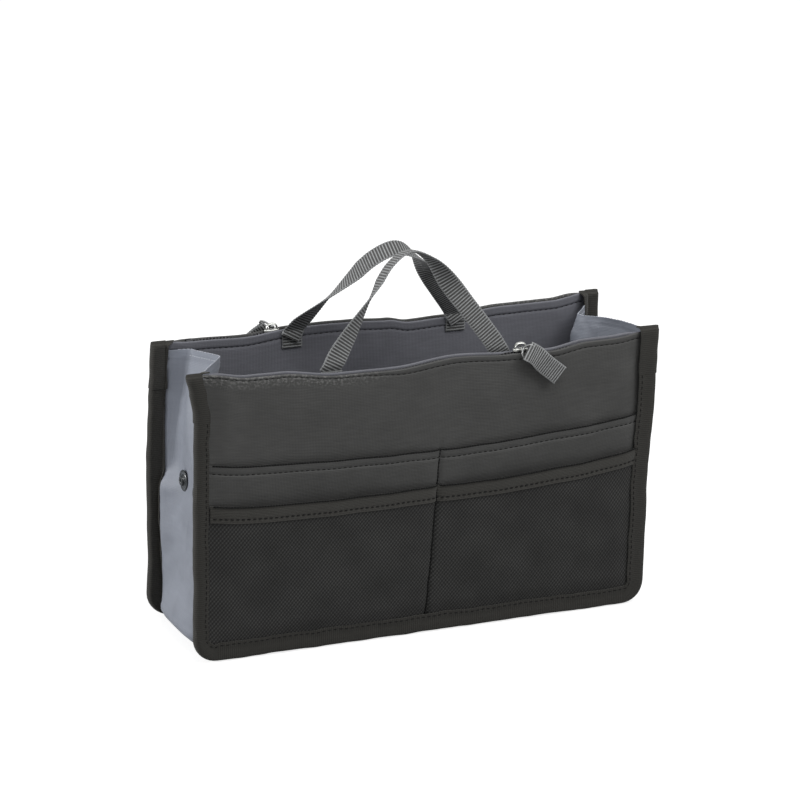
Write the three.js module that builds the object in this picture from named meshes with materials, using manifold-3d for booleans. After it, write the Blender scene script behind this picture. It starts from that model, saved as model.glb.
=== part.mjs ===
// Handbag-style toiletry organiser: two zipped cloth walls joined by one folding gusset strip.
// Millimetres. X runs along the walls, -Y is the front, Z is up, the origin is under the middle of the base.

import * as THREE from "three";
import { mergeVertices } from "three/addons/utils/BufferGeometryUtils.js";
import Module from "manifold-3d";

// Whole bag
const BAG_LENGTH = 280;
const BAG_DEPTH = 78;
const WALL_HEIGHT = 170;
const FRONT_SAG = 5.4;
const BACK_SAG = 2.8;
const CORNER_RADIUS = 14;
const FLOOR_GAP = 0.4;

// Cloth layers and their bound edge
const CLOTH = 0.6;
const LAYER_GAP = 0.3;
const BINDING_TAPE = 0.9;
const BINDING_WIDTH = 10;
const PINCH_LENGTH = 8.5;
const WALL_PUFF = 1.4;

// Pockets on the outside of each wall
const SLIP_TOP = 115;
const MESH_TOP = 92;
const HEM_HEIGHT = 7.5;

// Gusset strip
const SEAM_INSET = 9;
const GUSSET_DROP = 2;
const FOLD_DEPTH = 18;
const FOLD_START = 100;
const SIDE_DIP = 3.8;
const DIP_REACH = 8;
const BASE_FLAT = 44;
const BASE_EASE = 23;
const LIP_WIDTH = 2.6;

// Press studs on the gusset
const SNAP_HEIGHT = 91;
const SNAP_SPREAD = 26.4;
const SNAP_RING = 12.5;
const SNAP_KNOB = 5;
const SNAP_REACH = 4;
const SNAP_POST = 2.4;

// Zips along the top edges
const ZIP_INSET = 22;
const ZIP_PITCH = 4;
const TOOTH_REACH = 1.1;
const TOOTH_DROP = 0.5;
const TOOTH_HEIGHT = 1.4;
const TAPE_THICKNESS = 0.5;
const TAPE_HEIGHT = 12;
const TAPE_COVER = 4;
const ROW_GAP = 1.4;
const STOP_LENGTH = 3;

// Sliders and their pulls
const SLIDER_LENGTH = 9;
const SLIDER_PLATE = 1.2;
const FRONT_SLIDER_X = 56;
const BACK_SLIDER_X = 68;
const BAIL_HEIGHT = 3.6;
const PIN_RADIUS = 0.7;
const PIN_RISE = 1.7;
const PULL_DROOP_DEG = 39;
const PULL_WIDTH = 11;
const PULL_LENGTH = 24.2;

// Handles
const HANDLE_SPAN = 100;
const HANDLE_RISE = 60;
const HANDLE_SHIFT = -6;
const WEB_WIDTH = 12;
const WEB_THICKNESS = 1.2;
const HANDLE_END = 10;
const FRONT_LEAN_DEG = 11.5;
const BACK_LEAN_DEG = 29.3;
const STRAP_CLEARANCE = 0.1;

// Places that follow from the sizes above
const HALF_LENGTH = BAG_LENGTH / 2;
const LAYER = CLOTH + LAYER_GAP;
const OUTER_STACK = LAYER_GAP / 2 + 3 * LAYER + BINDING_TAPE;
const INNER_STACK = LAYER_GAP / 2 + 2 * LAYER + BINDING_TAPE;
const WALL_Y = OUTER_STACK - BAG_DEPTH / 2;
const PANEL_EDGE = HALF_LENGTH - BINDING_TAPE - LAYER_GAP;
const PANEL_FOOT = FLOOR_GAP + BINDING_TAPE + LAYER_GAP;
const PINCH_START = HALF_LENGTH - BINDING_WIDTH - 0.7;
const PINCH_END = PINCH_START - PINCH_LENGTH;
const TAPE_FACE = ROW_GAP / 2 + TOOTH_REACH;
const ZIP_SPREAD = TAPE_FACE + TAPE_THICKNESS + LAYER_GAP / 2;
const ZIP_HALF = HALF_LENGTH - ZIP_INSET;
const INNER_FACE = -(LAYER_GAP / 2 + ZIP_SPREAD + CLOTH);
const OUTER_FACE = -INNER_FACE;
const WEB_N = INNER_FACE - LAYER_GAP - WEB_THICKNESS / 2;
const SIDE_X = HALF_LENGTH - SEAM_INSET;
const GUSSET_TOP = WALL_HEIGHT - GUSSET_DROP;

// The two walls are alike, but each rim has its own sag, and each handle its own lean and early-turning leg
const WALLS = [
  { name: "front", rim: WALL_HEIGHT - FRONT_SAG, sliderX: FRONT_SLIDER_X, lean: FRONT_LEAN_DEG, early: -1 },
  { name: "back", rim: WALL_HEIGHT - BACK_SAG, sliderX: BACK_SLIDER_X, lean: BACK_LEAN_DEG, early: 1 },
];
for (const wall of WALLS) {
  wall.shift = -wall.early * HANDLE_SHIFT;
  wall.toothTop = wall.rim - TOOTH_DROP;
  wall.plateFoot = wall.toothTop + LAYER_GAP;
  wall.pinZ = wall.plateFoot + SLIDER_PLATE + PIN_RISE;
  wall.handleZ = wall.rim + WEB_THICKNESS / 2 + STRAP_CLEARANCE;
}

const wasm = await Module();
wasm.setup();

const part = new THREE.Group();
part.name = "toiletry_bag";

const LOOKS = {
  nylon: { color: 0x3b3b3d, roughness: 0.8, metalness: 0 },
  lining: { color: 0x35363b, roughness: 0.8, metalness: 0 },
  mesh: { color: 0x1d1d1e, roughness: 0.9, metalness: 0 },
  binding: { color: 0x161615, roughness: 0.9, metalness: 0 },
  gusset: { color: 0x7d8490, roughness: 0.75, metalness: 0 },
  webbing: { color: 0x6b6d6e, roughness: 0.9, metalness: 0 },
  tape: { color: 0x232325, roughness: 0.9, metalness: 0 },
  metal: { color: 0xc4c5c6, roughness: 0.3, metalness: 1 },
  stud: { color: 0x17181a, roughness: 0.4, metalness: 0 },
};

function addPiece(name, look, geometry, turned) {
  if (turned) {
    geometry.rotateZ(Math.PI);
  }
  geometry.computeVertexNormals();
  const mesh = new THREE.Mesh(geometry, new THREE.MeshStandardMaterial(LOOKS[look]));
  mesh.name = name;
  part.add(mesh);
}

// Bare closed triangles: shared corners joined, collapsed triangles dropped
function cleaned(source) {
  const bare = new THREE.BufferGeometry();
  bare.setAttribute("position", source.getAttribute("position").clone());
  if (source.index) {
    bare.setIndex(source.index.clone());
  }
  const joined = mergeVertices(bare, 1e-4);
  const kept = [];
  const index = joined.index.array;
  for (let i = 0; i < index.length; i += 3) {
    const [a, b, c] = [index[i], index[i + 1], index[i + 2]];
    if (a !== b && b !== c && c !== a) {
      kept.push(a, b, c);
    }
  }
  joined.setIndex(kept);
  return joined;
}

function facingOut(points, faces) {
  let volume = 0;
  for (const [a, b, c] of faces) {
    const cross = new THREE.Vector3().crossVectors(points[b], points[c]);
    volume += points[a].dot(cross);
  }
  const turned = volume < 0 ? faces.map(([a, b, c]) => [a, c, b]) : faces;
  const geometry = new THREE.BufferGeometry().setFromPoints(points);
  geometry.setIndex(turned.flat());
  return cleaned(geometry);
}

// A closed sheet between two grids of points of the same size
function slab(near, far) {
  const rows = near.length;
  const cols = near[0].length;
  const points = [...near.flat(), ...far.flat()];
  const at = (side, r, c) => side * rows * cols + r * cols + c;
  const faces = [];
  const quad = (a, b, c, d) => faces.push([a, b, c], [a, c, d]);
  for (let r = 0; r < rows - 1; r += 1) {
    for (let c = 0; c < cols - 1; c += 1) {
      quad(at(0, r, c), at(0, r, c + 1), at(0, r + 1, c + 1), at(0, r + 1, c));
      faces.push([at(1, r, c), at(1, r + 1, c + 1), at(1, r, c + 1)]);
      faces.push([at(1, r, c), at(1, r + 1, c), at(1, r + 1, c + 1)]);
    }
  }
  for (let c = 0; c < cols - 1; c += 1) {
    quad(at(0, 0, c), at(1, 0, c), at(1, 0, c + 1), at(0, 0, c + 1));
    quad(at(0, rows - 1, c), at(0, rows - 1, c + 1), at(1, rows - 1, c + 1), at(1, rows - 1, c));
  }
  for (let r = 0; r < rows - 1; r += 1) {
    quad(at(0, r, 0), at(0, r + 1, 0), at(1, r + 1, 0), at(1, r, 0));
    quad(at(0, r, cols - 1), at(1, r, cols - 1), at(1, r + 1, cols - 1), at(0, r + 1, cols - 1));
  }
  return facingOut(points, faces);
}

// A closed bar through sections of the same number of corners; outline gives the shape of the end faces
function loft(sections, outline) {
  const size = outline.length;
  const points = sections.flat();
  const faces = [];
  for (let s = 0; s < sections.length - 1; s += 1) {
    for (let i = 0; i < size; i += 1) {
      const j = (i + 1) % size;
      const here = s * size;
      const next = here + size;
      faces.push([here + i, here + j, next + j], [here + i, next + j, next + i]);
    }
  }
  const ends = THREE.ShapeUtils.triangulateShape(outline, []);
  const clockwise = THREE.ShapeUtils.isClockWise(outline);
  const last = (sections.length - 1) * size;
  for (const [a, b, c] of ends) {
    faces.push(clockwise ? [a, b, c] : [a, c, b]);
    faces.push(clockwise ? [last + a, last + c, last + b] : [last + a, last + b, last + c]);
  }
  return facingOut(points, faces);
}

function solid(geometry) {
  const bare = cleaned(geometry);
  return new wasm.Manifold(
    new wasm.Mesh({
      numProp: 3,
      vertProperties: new Float32Array(bare.getAttribute("position").array),
      triVerts: new Uint32Array(bare.index.array),
    }),
  );
}

function shapeOf(body) {
  const mesh = body.getMesh();
  const geometry = new THREE.BufferGeometry();
  geometry.setAttribute("position", new THREE.BufferAttribute(mesh.vertProperties, 3));
  geometry.setIndex(Array.from(mesh.triVerts));
  return geometry;
}

function joined(...geometries) {
  return shapeOf(geometries.map(solid).reduce((all, next) => all.add(next)));
}

// Wall coordinates: x along the wall, n outwards from the middle of its layers, z up
function wallPoint(x, n, z) {
  return new THREE.Vector3(x, WALL_Y - n, z);
}

function wallBlock(x0, x1, n0, n1, z0, z1) {
  const block = new THREE.BoxGeometry(x1 - x0, n1 - n0, z1 - z0);
  block.translate((x0 + x1) / 2, WALL_Y - (n0 + n1) / 2, (z0 + z1) / 2);
  return block;
}

// An outline in x and z, standing on the wall from n0 to n1
function wallPlate(shape, n0, n1) {
  const plate = new THREE.ExtrudeGeometry(shape, { depth: n1 - n0, bevelEnabled: false, curveSegments: 10 });
  plate.rotateX(Math.PI / 2);
  plate.translate(0, WALL_Y - n0, 0);
  return plate;
}

function clamp(value, low, high) {
  return Math.min(high, Math.max(low, value));
}

// How far the layers stand apart: nothing under the binding, full inside it, widest along the zip
function spread(x, z, rim) {
  const side = clamp((PINCH_START - Math.abs(x)) / PINCH_LENGTH, 0, 1);
  const foot = clamp((z - FLOOR_GAP - BINDING_WIDTH - 0.7) / PINCH_LENGTH, 0, 1);
  const zip = clamp((z - SLIP_TOP) / (rim - TAPE_HEIGHT - TAPE_COVER - SLIP_TOP), 0, 1);
  return Math.min(side, foot) * (WALL_PUFF + zip * (ZIP_SPREAD - WALL_PUFF));
}

const sheetColumns = (() => {
  const arc = CORNER_RADIUS - BINDING_TAPE - LAYER_GAP;
  const right = [0, PINCH_END, (PINCH_END + PINCH_START) / 2];
  for (const turn of [0, 0.3, 0.55, 0.75, 0.9, 1]) {
    right.push(PANEL_EDGE - arc + arc * Math.sin((turn * Math.PI) / 2));
  }
  right.push(PINCH_START);
  right.sort((a, b) => a - b);
  return [...right.slice(1).reverse().map((x) => -x), ...right];
})();

function sheetFoot(x) {
  const arc = CORNER_RADIUS - BINDING_TAPE - LAYER_GAP;
  const past = Math.max(0, Math.abs(x) - (PANEL_EDGE - arc));
  return PANEL_FOOT + arc - Math.sqrt(Math.max(0, arc * arc - past * past));
}

// The heights at which every layer of a wall has a row of points, so that all stay parallel
function sheetRows(rim) {
  return [
    PANEL_FOOT,
    FLOOR_GAP + BINDING_WIDTH + 0.7,
    FLOOR_GAP + BINDING_WIDTH + 0.7 + PINCH_LENGTH,
    MESH_TOP - HEM_HEIGHT,
    MESH_TOP,
    SLIP_TOP,
    rim - TAPE_HEIGHT - TAPE_COVER,
    rim,
  ];
}
const HEM_ROW = 3;
const MESH_ROW = 4;
const SLIP_ROW = 5;
const RIM_ROW = 7;

function wallSheet(wall, layer, from, to, columns, side) {
  const rows = sheetRows(wall.rim);
  const near = [];
  const far = [];
  for (let row = from; row <= to; row += 1) {
    const heights = columns.map((x) => Math.max(rows[row], sheetFoot(x) + row * 0.5));
    const base = (x, z) => LAYER_GAP / 2 + layer * LAYER + spread(x, z, wall.rim);
    near.push(columns.map((x, i) => wallPoint(x, side * base(x, heights[i]), heights[i])));
    far.push(columns.map((x, i) => wallPoint(x, side * (base(x, heights[i]) + CLOTH), heights[i])));
  }
  return slab(near, far);
}

// Binding: a folded tape round the two sides and the foot of a wall, its top ends tucked in on themselves
function bindingStations() {
  const stations = [{ x: -HALF_LENGTH, z: WALL_HEIGHT, mx: 1, mz: 0 }];
  const cx = HALF_LENGTH - CORNER_RADIUS;
  const cz = FLOOR_GAP + CORNER_RADIUS;
  for (let i = 0; i <= 6; i += 1) {
    const angle = (i / 6) * (Math.PI / 2);
    const [mx, mz] = [Math.cos(angle), Math.sin(angle)];
    stations.push({ x: -cx - CORNER_RADIUS * mx, z: cz - CORNER_RADIUS * mz, mx, mz });
  }
  const right = stations.map((s) => ({ x: -s.x, z: s.z, mx: -s.mx, mz: s.mz })).reverse();
  return [...stations, ...right];
}

function binding() {
  const inside = SEAM_INSET - CLOTH / 2 - LAYER_GAP;
  const [n0, n1] = [-INNER_STACK, OUTER_STACK];
  const outline = [
    [0, n0],
    [inside, n0],
    [inside, n0 + BINDING_TAPE],
    [BINDING_TAPE, n0 + BINDING_TAPE],
    [BINDING_TAPE, n1 - BINDING_TAPE],
    [BINDING_WIDTH, n1 - BINDING_TAPE],
    [BINDING_WIDTH, n1],
    [0, n1],
  ].map(([m, n]) => new THREE.Vector2(m, n));
  const sections = bindingStations().map((s) =>
    outline.map((p) => wallPoint(s.x + s.mx * p.x, p.y, s.z + s.mz * p.x)),
  );
  const ends = [-1, 1].map((side) => {
    const [a, b] = [side * (HALF_LENGTH - inside), side * HALF_LENGTH];
    return wallBlock(Math.min(a, b), Math.max(a, b), n0, n1, GUSSET_TOP + LAYER_GAP, WALL_HEIGHT);
  });
  return joined(loft(sections, outline), ...ends);
}

// Half of the zip: an upright tape with a row of teeth along its top; side is 1 outside, -1 inside
function zipHalf(wall, side) {
  const inner = TAPE_FACE - TOOTH_REACH;
  const teethEnd = ZIP_HALF - STOP_LENGTH - 1.5;
  const count = Math.floor((2 * teethEnd) / ZIP_PITCH);
  const start = (-count * ZIP_PITCH) / 2 + (side > 0 ? 0 : ZIP_PITCH / 2);
  const comb = [[-ZIP_HALF, TAPE_FACE]];
  for (let i = 0; i < count - 1; i += 1) {
    const x = start + (i + 0.25) * ZIP_PITCH;
    comb.push([x, TAPE_FACE], [x + 0.1 * ZIP_PITCH, inner]);
    comb.push([x + 0.4 * ZIP_PITCH, inner], [x + 0.5 * ZIP_PITCH, TAPE_FACE]);
  }
  comb.push([ZIP_HALF, TAPE_FACE]);
  comb.push([ZIP_HALF, TAPE_FACE + TAPE_THICKNESS], [-ZIP_HALF, TAPE_FACE + TAPE_THICKNESS]);
  const shape = new THREE.Shape(comb.map(([x, n]) => new THREE.Vector2(x, -side * n)));
  const teeth = new THREE.ExtrudeGeometry(shape, { depth: TOOTH_HEIGHT, bevelEnabled: false });
  const toothFoot = wall.toothTop - TOOTH_HEIGHT;
  teeth.translate(0, WALL_Y, toothFoot);
  const faces = [side * TAPE_FACE, side * (TAPE_FACE + TAPE_THICKNESS)].sort((a, b) => a - b);
  const band = wallBlock(-ZIP_HALF, ZIP_HALF, ...faces, wall.rim - TAPE_HEIGHT, toothFoot);
  return joined(teeth, band);
}

function zipStop(wall, side) {
  const ends = [side * ZIP_HALF, side * (ZIP_HALF - STOP_LENGTH)].sort((a, b) => a - b);
  const reach = TAPE_FACE - LAYER_GAP;
  return wallBlock(...ends, -reach, reach, wall.toothTop - 2 * TOOTH_HEIGHT, wall.toothTop);
}

// Slider: a plate over the teeth, a post between their rows, a keel below them and a bail on top
function slider(wall) {
  const x = wall.sliderX;
  const half = SLIDER_LENGTH / 2;
  const plateTop = wall.plateFoot + SLIDER_PLATE;
  const wide = TAPE_FACE + TAPE_THICKNESS;
  const plan = new THREE.Shape();
  plan.moveTo(x - half, -wide * 0.6);
  plan.quadraticCurveTo(x - half, -wide, x - half * 0.4, -wide);
  plan.lineTo(x + half * 0.5, -wide);
  plan.quadraticCurveTo(x + half, -wide * 0.9, x + half, 0);
  plan.quadraticCurveTo(x + half, wide * 0.9, x + half * 0.5, wide);
  plan.lineTo(x - half * 0.4, wide);
  plan.quadraticCurveTo(x - half, wide, x - half, wide * 0.6);
  plan.closePath();
  const press = { depth: SLIDER_PLATE, bevelEnabled: false, curveSegments: 4 };
  const plate = new THREE.ExtrudeGeometry(plan, press);
  plate.translate(0, WALL_Y, wall.plateFoot);
  const post = (ROW_GAP / 2) * 0.6;
  const keelTop = wall.toothTop - TOOTH_HEIGHT - LAYER_GAP;
  const keelHalf = TAPE_FACE - LAYER_GAP - 0.1;
  const stem = wallBlock(x - half * 0.6, x + half * 0.6, -post, post, keelTop - 0.5, wall.plateFoot + 0.4);
  const keel = wallBlock(x - half * 0.9, x + half * 0.9, -keelHalf, keelHalf, keelTop - 1.1, keelTop);
  const arch = new THREE.Shape();
  arch.moveTo(x - half * 0.75, plateTop - 0.3);
  arch.lineTo(x + half * 0.75, plateTop - 0.3);
  arch.quadraticCurveTo(x + half * 0.7, plateTop + BAIL_HEIGHT, x, plateTop + BAIL_HEIGHT);
  arch.quadraticCurveTo(x - half * 0.7, plateTop + BAIL_HEIGHT, x - half * 0.75, plateTop - 0.3);
  const eye = new THREE.Path();
  eye.absarc(x, wall.pinZ, PIN_RADIUS + LAYER_GAP, 0, 2 * Math.PI, true);
  arch.holes.push(eye);
  return joined(plate, stem, keel, wallPlate(arch, -1, 1));
}

// Pull coordinates: along runs from the pin down the hanging tab, across is square to it on the wall
const PLATE_N = OUTER_FACE + 2;
const PLATE_THICKNESS = 1.2;
const SLOT_START = 3.2;
const BAR_START = 5.2;
const BAR_END = 6.8;
const TAB_CLEAR = 0.3;

function hang(geometry, wall) {
  const turn = new THREE.Matrix4().makeRotationY(THREE.MathUtils.degToRad(PULL_DROOP_DEG));
  turn.setPosition(wall.sliderX, 0, wall.pinZ);
  return geometry.applyMatrix4(turn);
}

function pullLink(wall) {
  const across = PULL_WIDTH / 2 + 1.3;
  const frame = new THREE.Shape();
  frame.moveTo(-1.7, -1);
  frame.lineTo(-1.7, 1);
  frame.lineTo(-0.6, 1.7);
  frame.lineTo(SLOT_START - 1.2, across);
  frame.lineTo(BAR_END, across);
  frame.lineTo(BAR_END, -across);
  frame.lineTo(SLOT_START - 1.2, -across);
  frame.lineTo(-0.6, -1.7);
  frame.closePath();
  const slotHalf = PULL_WIDTH / 2 + TAB_CLEAR;
  const slot = new THREE.Path();
  slot.moveTo(SLOT_START, -slotHalf);
  slot.lineTo(BAR_START, -slotHalf);
  slot.lineTo(BAR_START, slotHalf);
  slot.lineTo(SLOT_START, slotHalf);
  slot.closePath();
  frame.holes.push(slot);
  const plate = wallPlate(frame, PLATE_N, PLATE_N + PLATE_THICKNESS);
  const rod = (radius, n0, n1) => {
    const bar = new THREE.CylinderGeometry(radius, radius, n1 - n0, 14);
    bar.translate(0, WALL_Y - (n0 + n1) / 2, 0);
    return bar;
  };
  return hang(joined(plate, rod(PIN_RADIUS, -2, PLATE_N + 0.5), rod(1.4, -2.2, -1.4)), wall);
}

// The tab: webbing doubled round the link's bar, drawn as its edge and pushed across its width
function pullTab(wall) {
  const ply = 0.9;
  const low = PLATE_N - TAB_CLEAR;
  const high = PLATE_N + PLATE_THICKNESS + TAB_CLEAR;
  const mid = (low + high) / 2;
  const fold = BAR_START - TAB_CLEAR;
  const end = fold - ply + PULL_LENGTH;
  const edge = new THREE.Shape();
  edge.moveTo(fold - ply, mid - 0.6);
  edge.lineTo(fold - 0.3, low - ply);
  edge.lineTo(BAR_END + TAB_CLEAR, low - ply);
  edge.lineTo(BAR_END + 3, mid - ply);
  edge.lineTo(end, mid - ply);
  edge.lineTo(end, mid + ply);
  edge.lineTo(BAR_END + 3, mid + ply);
  edge.lineTo(BAR_END + TAB_CLEAR, high + ply);
  edge.lineTo(fold - 0.3, high + ply);
  edge.lineTo(fold - ply, mid + 0.6);
  edge.closePath();
  const loop = new THREE.Path();
  loop.moveTo(fold, low);
  loop.lineTo(fold, high);
  loop.lineTo(BAR_END + TAB_CLEAR, high);
  loop.lineTo(BAR_END + TAB_CLEAR, low);
  loop.closePath();
  edge.holes.push(loop);
  const tab = new THREE.ExtrudeGeometry(edge, { depth: PULL_WIDTH, bevelEnabled: false });
  tab.scale(1, -1, 1);
  tab.translate(0, WALL_Y, -PULL_WIDTH / 2);
  return hang(outward(tab), wall);
}

function outward(geometry) {
  const bare = cleaned(geometry);
  const place = bare.getAttribute("position");
  const points = [];
  for (let i = 0; i < place.count; i += 1) {
    points.push(new THREE.Vector3().fromBufferAttribute(place, i));
  }
  const faces = [];
  for (let i = 0; i < bare.index.count; i += 3) {
    faces.push([bare.index.getX(i), bare.index.getX(i + 1), bare.index.getX(i + 2)]);
  }
  return facingOut(points, faces);
}

// Handle: flat webbing that leaves its sewn ends flat on the wall and turns a quarter on each leg.
// The leg on the early side turns from just above the rim, the other only near the top.
const HANDLE_KNOTS = [
  [0, 1],
  [0.25, 0.89],
  [0.48, 0.63],
  [0.78, 0.28],
  [0.93, 0.1],
  [1, 0],
];

function handle(wall) {
  const left = HANDLE_KNOTS.slice(1).reverse().map(([u, h]) => [-u, h]);
  const knots = [...left, ...HANDLE_KNOTS].map(
    ([u, h]) => new THREE.Vector3((u * HANDLE_SPAN) / 2, h * HANDLE_RISE, 0),
  );
  const path = new THREE.CatmullRomCurve3(knots);
  const tilt = THREE.MathUtils.degToRad(wall.lean);
  const steps = 36;
  const sections = [];
  for (let i = 0; i <= steps; i += 1) {
    const u = i / steps;
    const middle = path.getPointAt(u);
    const along = path.getTangentAt(u);
    const legShare = 1 - Math.abs(2 * u - 1);
    const [from, to] = Math.sign(u - 0.5) === wall.early ? [0.15, 0.7] : [0.4, 0.97];
    const turn = clamp((legShare - from) / (to - from), 0, 1) * (Math.PI / 2);
    const square = new THREE.Vector3(along.y, -along.x, 0);
    const level = new THREE.Vector3(Math.sign(0.5 - u) || 1, 0, 0);
    const inPlane = level.lerp(square, THREE.MathUtils.smoothstep(legShare, 0, 0.15)).normalize();
    const across = inPlane.multiplyScalar(Math.cos(turn));
    across.z += wall.early * Math.sin(turn);
    const through = new THREE.Vector3().crossVectors(along, across).normalize();
    const corner = (w, t) => {
      const p = middle.clone();
      p.addScaledVector(across, (w * WEB_WIDTH) / 2);
      p.addScaledVector(through, (t * WEB_THICKNESS) / 2);
      const n = WEB_N - p.y * Math.sin(tilt) + p.z * Math.cos(tilt);
      return wallPoint(wall.shift + p.x, n, wall.handleZ + p.y * Math.cos(tilt) + p.z * Math.sin(tilt));
    };
    sections.push([corner(-1, -1), corner(1, -1), corner(1, 1), corner(-1, 1)]);
  }
  const outline = [[-1, -1], [1, -1], [1, 1], [-1, 1]].map(([a, b]) => new THREE.Vector2(a, b));
  return loft(sections, outline);
}

function handleEnd(wall, side) {
  const x = wall.shift + (side * HANDLE_SPAN) / 2;
  const [n0, n1] = [WEB_N - WEB_THICKNESS / 2, WEB_N + WEB_THICKNESS / 2];
  return wallBlock(x - WEB_WIDTH / 2, x + WEB_WIDTH / 2, n0, n1, wall.rim - HANDLE_END, wall.rim - 0.1);
}

function addWall(wall) {
  const turned = wall.name === "back";
  const add = (name, look, geometry) => addPiece(`${wall.name}_${name}`, look, geometry, turned);
  add("outer_panel", "nylon", wallSheet(wall, 0, 0, RIM_ROW, sheetColumns, 1));
  add("inner_panel", "lining", wallSheet(wall, 0, 0, RIM_ROW, sheetColumns, -1));
  add("slip_pocket", "nylon", wallSheet(wall, 1, 0, SLIP_ROW, sheetColumns, 1));
  add("mesh_pocket", "mesh", wallSheet(wall, 2, 0, MESH_ROW, sheetColumns, 1));
  const hemColumns = sheetColumns.filter((x) => Math.abs(x) < PINCH_START + 0.01);
  add("mesh_hem", "binding", wallSheet(wall, 3, HEM_ROW, MESH_ROW, hemColumns, 1));
  add("binding", "binding", binding());
  add("zip_tape_outer", "tape", zipHalf(wall, 1));
  add("zip_tape_inner", "tape", zipHalf(wall, -1));
  add("zip_stop_left", "metal", zipStop(wall, -1));
  add("zip_stop_right", "metal", zipStop(wall, 1));
  add("zip_slider", "metal", slider(wall));
  add("zip_pull_link", "metal", pullLink(wall));
  add("zip_pull_tab", "webbing", pullTab(wall));
  add("handle", "webbing", handle(wall));
  add("handle_end_left", "webbing", handleEnd(wall, -1));
  add("handle_end_right", "webbing", handleEnd(wall, 1));
}

// Gusset: one strip down the left side, under the bag and up the right side. Its two edges turn out into
// the bindings, its sides hang in a little between them, and higher up they fold in along a centre crease.
const GUSSET_EDGE_Y = -(WALL_Y + LAYER_GAP / 2 + LAYER + CLOTH / 2);
const GUSSET_LIP_Y = GUSSET_EDGE_Y - LIP_WIDTH;

function gussetStations() {
  const radius = Math.max(4, CORNER_RADIUS - SEAM_INSET);
  const foot = FLOOR_GAP + SEAM_INSET;
  const rise = (GUSSET_TOP - FOLD_START) / 4;
  const stations = [];
  for (const z of [0, 1, 2, 3, 4].map((i) => GUSSET_TOP - i * rise)) {
    stations.push({ x: -SIDE_X, z, nx: -1, nz: 0, sag: 0, dip: 1 });
  }
  stations.push({ x: -SIDE_X, z: FOLD_START * 0.45, nx: -1, nz: 0, sag: 0, dip: 1 });
  for (let i = 0; i <= 4; i += 1) {
    const angle = (i / 4) * (Math.PI / 2);
    const [nx, nz] = [-Math.cos(angle), -Math.sin(angle)];
    const [x, z] = [-SIDE_X + radius + radius * nx, foot + radius + radius * nz];
    stations.push({ x, z, nx, nz, sag: (i / 4) * 0.7, dip: 0 });
  }
  stations.push({ x: -SIDE_X + BASE_EASE, z: foot, nx: 0, nz: -1, sag: 1, dip: 0 });
  const right = stations.map((s) => ({ ...s, x: -s.x, nx: -s.nx })).reverse();
  return [...stations, ...right];
}

function gussetStrip() {
  const half = CLOTH / 2;
  const drop = FLOOR_GAP + SEAM_INSET - half;
  const flange = SEAM_INSET - BINDING_TAPE - LAYER_GAP;
  const near = [];
  const far = [];
  const dipFlat = GUSSET_LIP_Y - DIP_REACH;
  for (const s of gussetStations()) {
    const share = clamp((s.z - FOLD_START) / (GUSSET_TOP - FOLD_START), 0, 1);
    const low = s.nz < -0.01 || s.z < FOLD_START - 1;
    const bend = low ? BASE_FLAT / 2 : clamp(GUSSET_LIP_Y * share, 3, GUSSET_LIP_Y - 1.5);
    const beside = (y, reach) => clamp((GUSSET_LIP_Y - Math.abs(y)) / reach, 0, 1);
    const fold = (y) => FOLD_DEPTH * Math.max(0, share - Math.abs(y) / GUSSET_LIP_Y);
    const dip = (y) => SIDE_DIP * s.dip * (1 - share) * beside(y, DIP_REACH);
    const sag = (y) => s.sag * drop * beside(y, GUSSET_LIP_Y - BASE_FLAT / 2);
    const outwards = [GUSSET_LIP_Y, Math.max(bend, dipFlat), Math.min(bend, dipFlat)];
    const across = [...outwards.map((y) => -y), 0, ...outwards.reverse()];
    const main = across.map((y) => [y, sag(y) - fold(y) - dip(y), half, 0]);
    const columns = [
      [-GUSSET_EDGE_Y, flange, 0, half],
      [-GUSSET_EDGE_Y, 0, half, half],
      ...main,
      [GUSSET_EDGE_Y, 0, half, -half],
      [GUSSET_EDGE_Y, flange, 0, -half],
    ];
    const place = (side) =>
      columns.map(([y, out, across, turn]) => {
        const reach = out + side * across;
        return new THREE.Vector3(s.x + s.nx * reach, y + side * turn, s.z + s.nz * reach);
      });
    near.push(place(-1));
    far.push(place(1));
  }
  return slab(near, far);
}

// Press stud halves: turned about the line through the cloth, out of the bag along side * X
const SNAP_X = SIDE_X - SIDE_DIP;

function snapPiece(profile, y, side) {
  const turned = new THREE.LatheGeometry(
    profile.map(([r, h]) => new THREE.Vector2(r, h)),
    20,
  );
  turned.rotateZ((-side * Math.PI) / 2);
  turned.translate(side * SNAP_X, y, SNAP_HEIGHT);
  return outward(turned);
}

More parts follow.
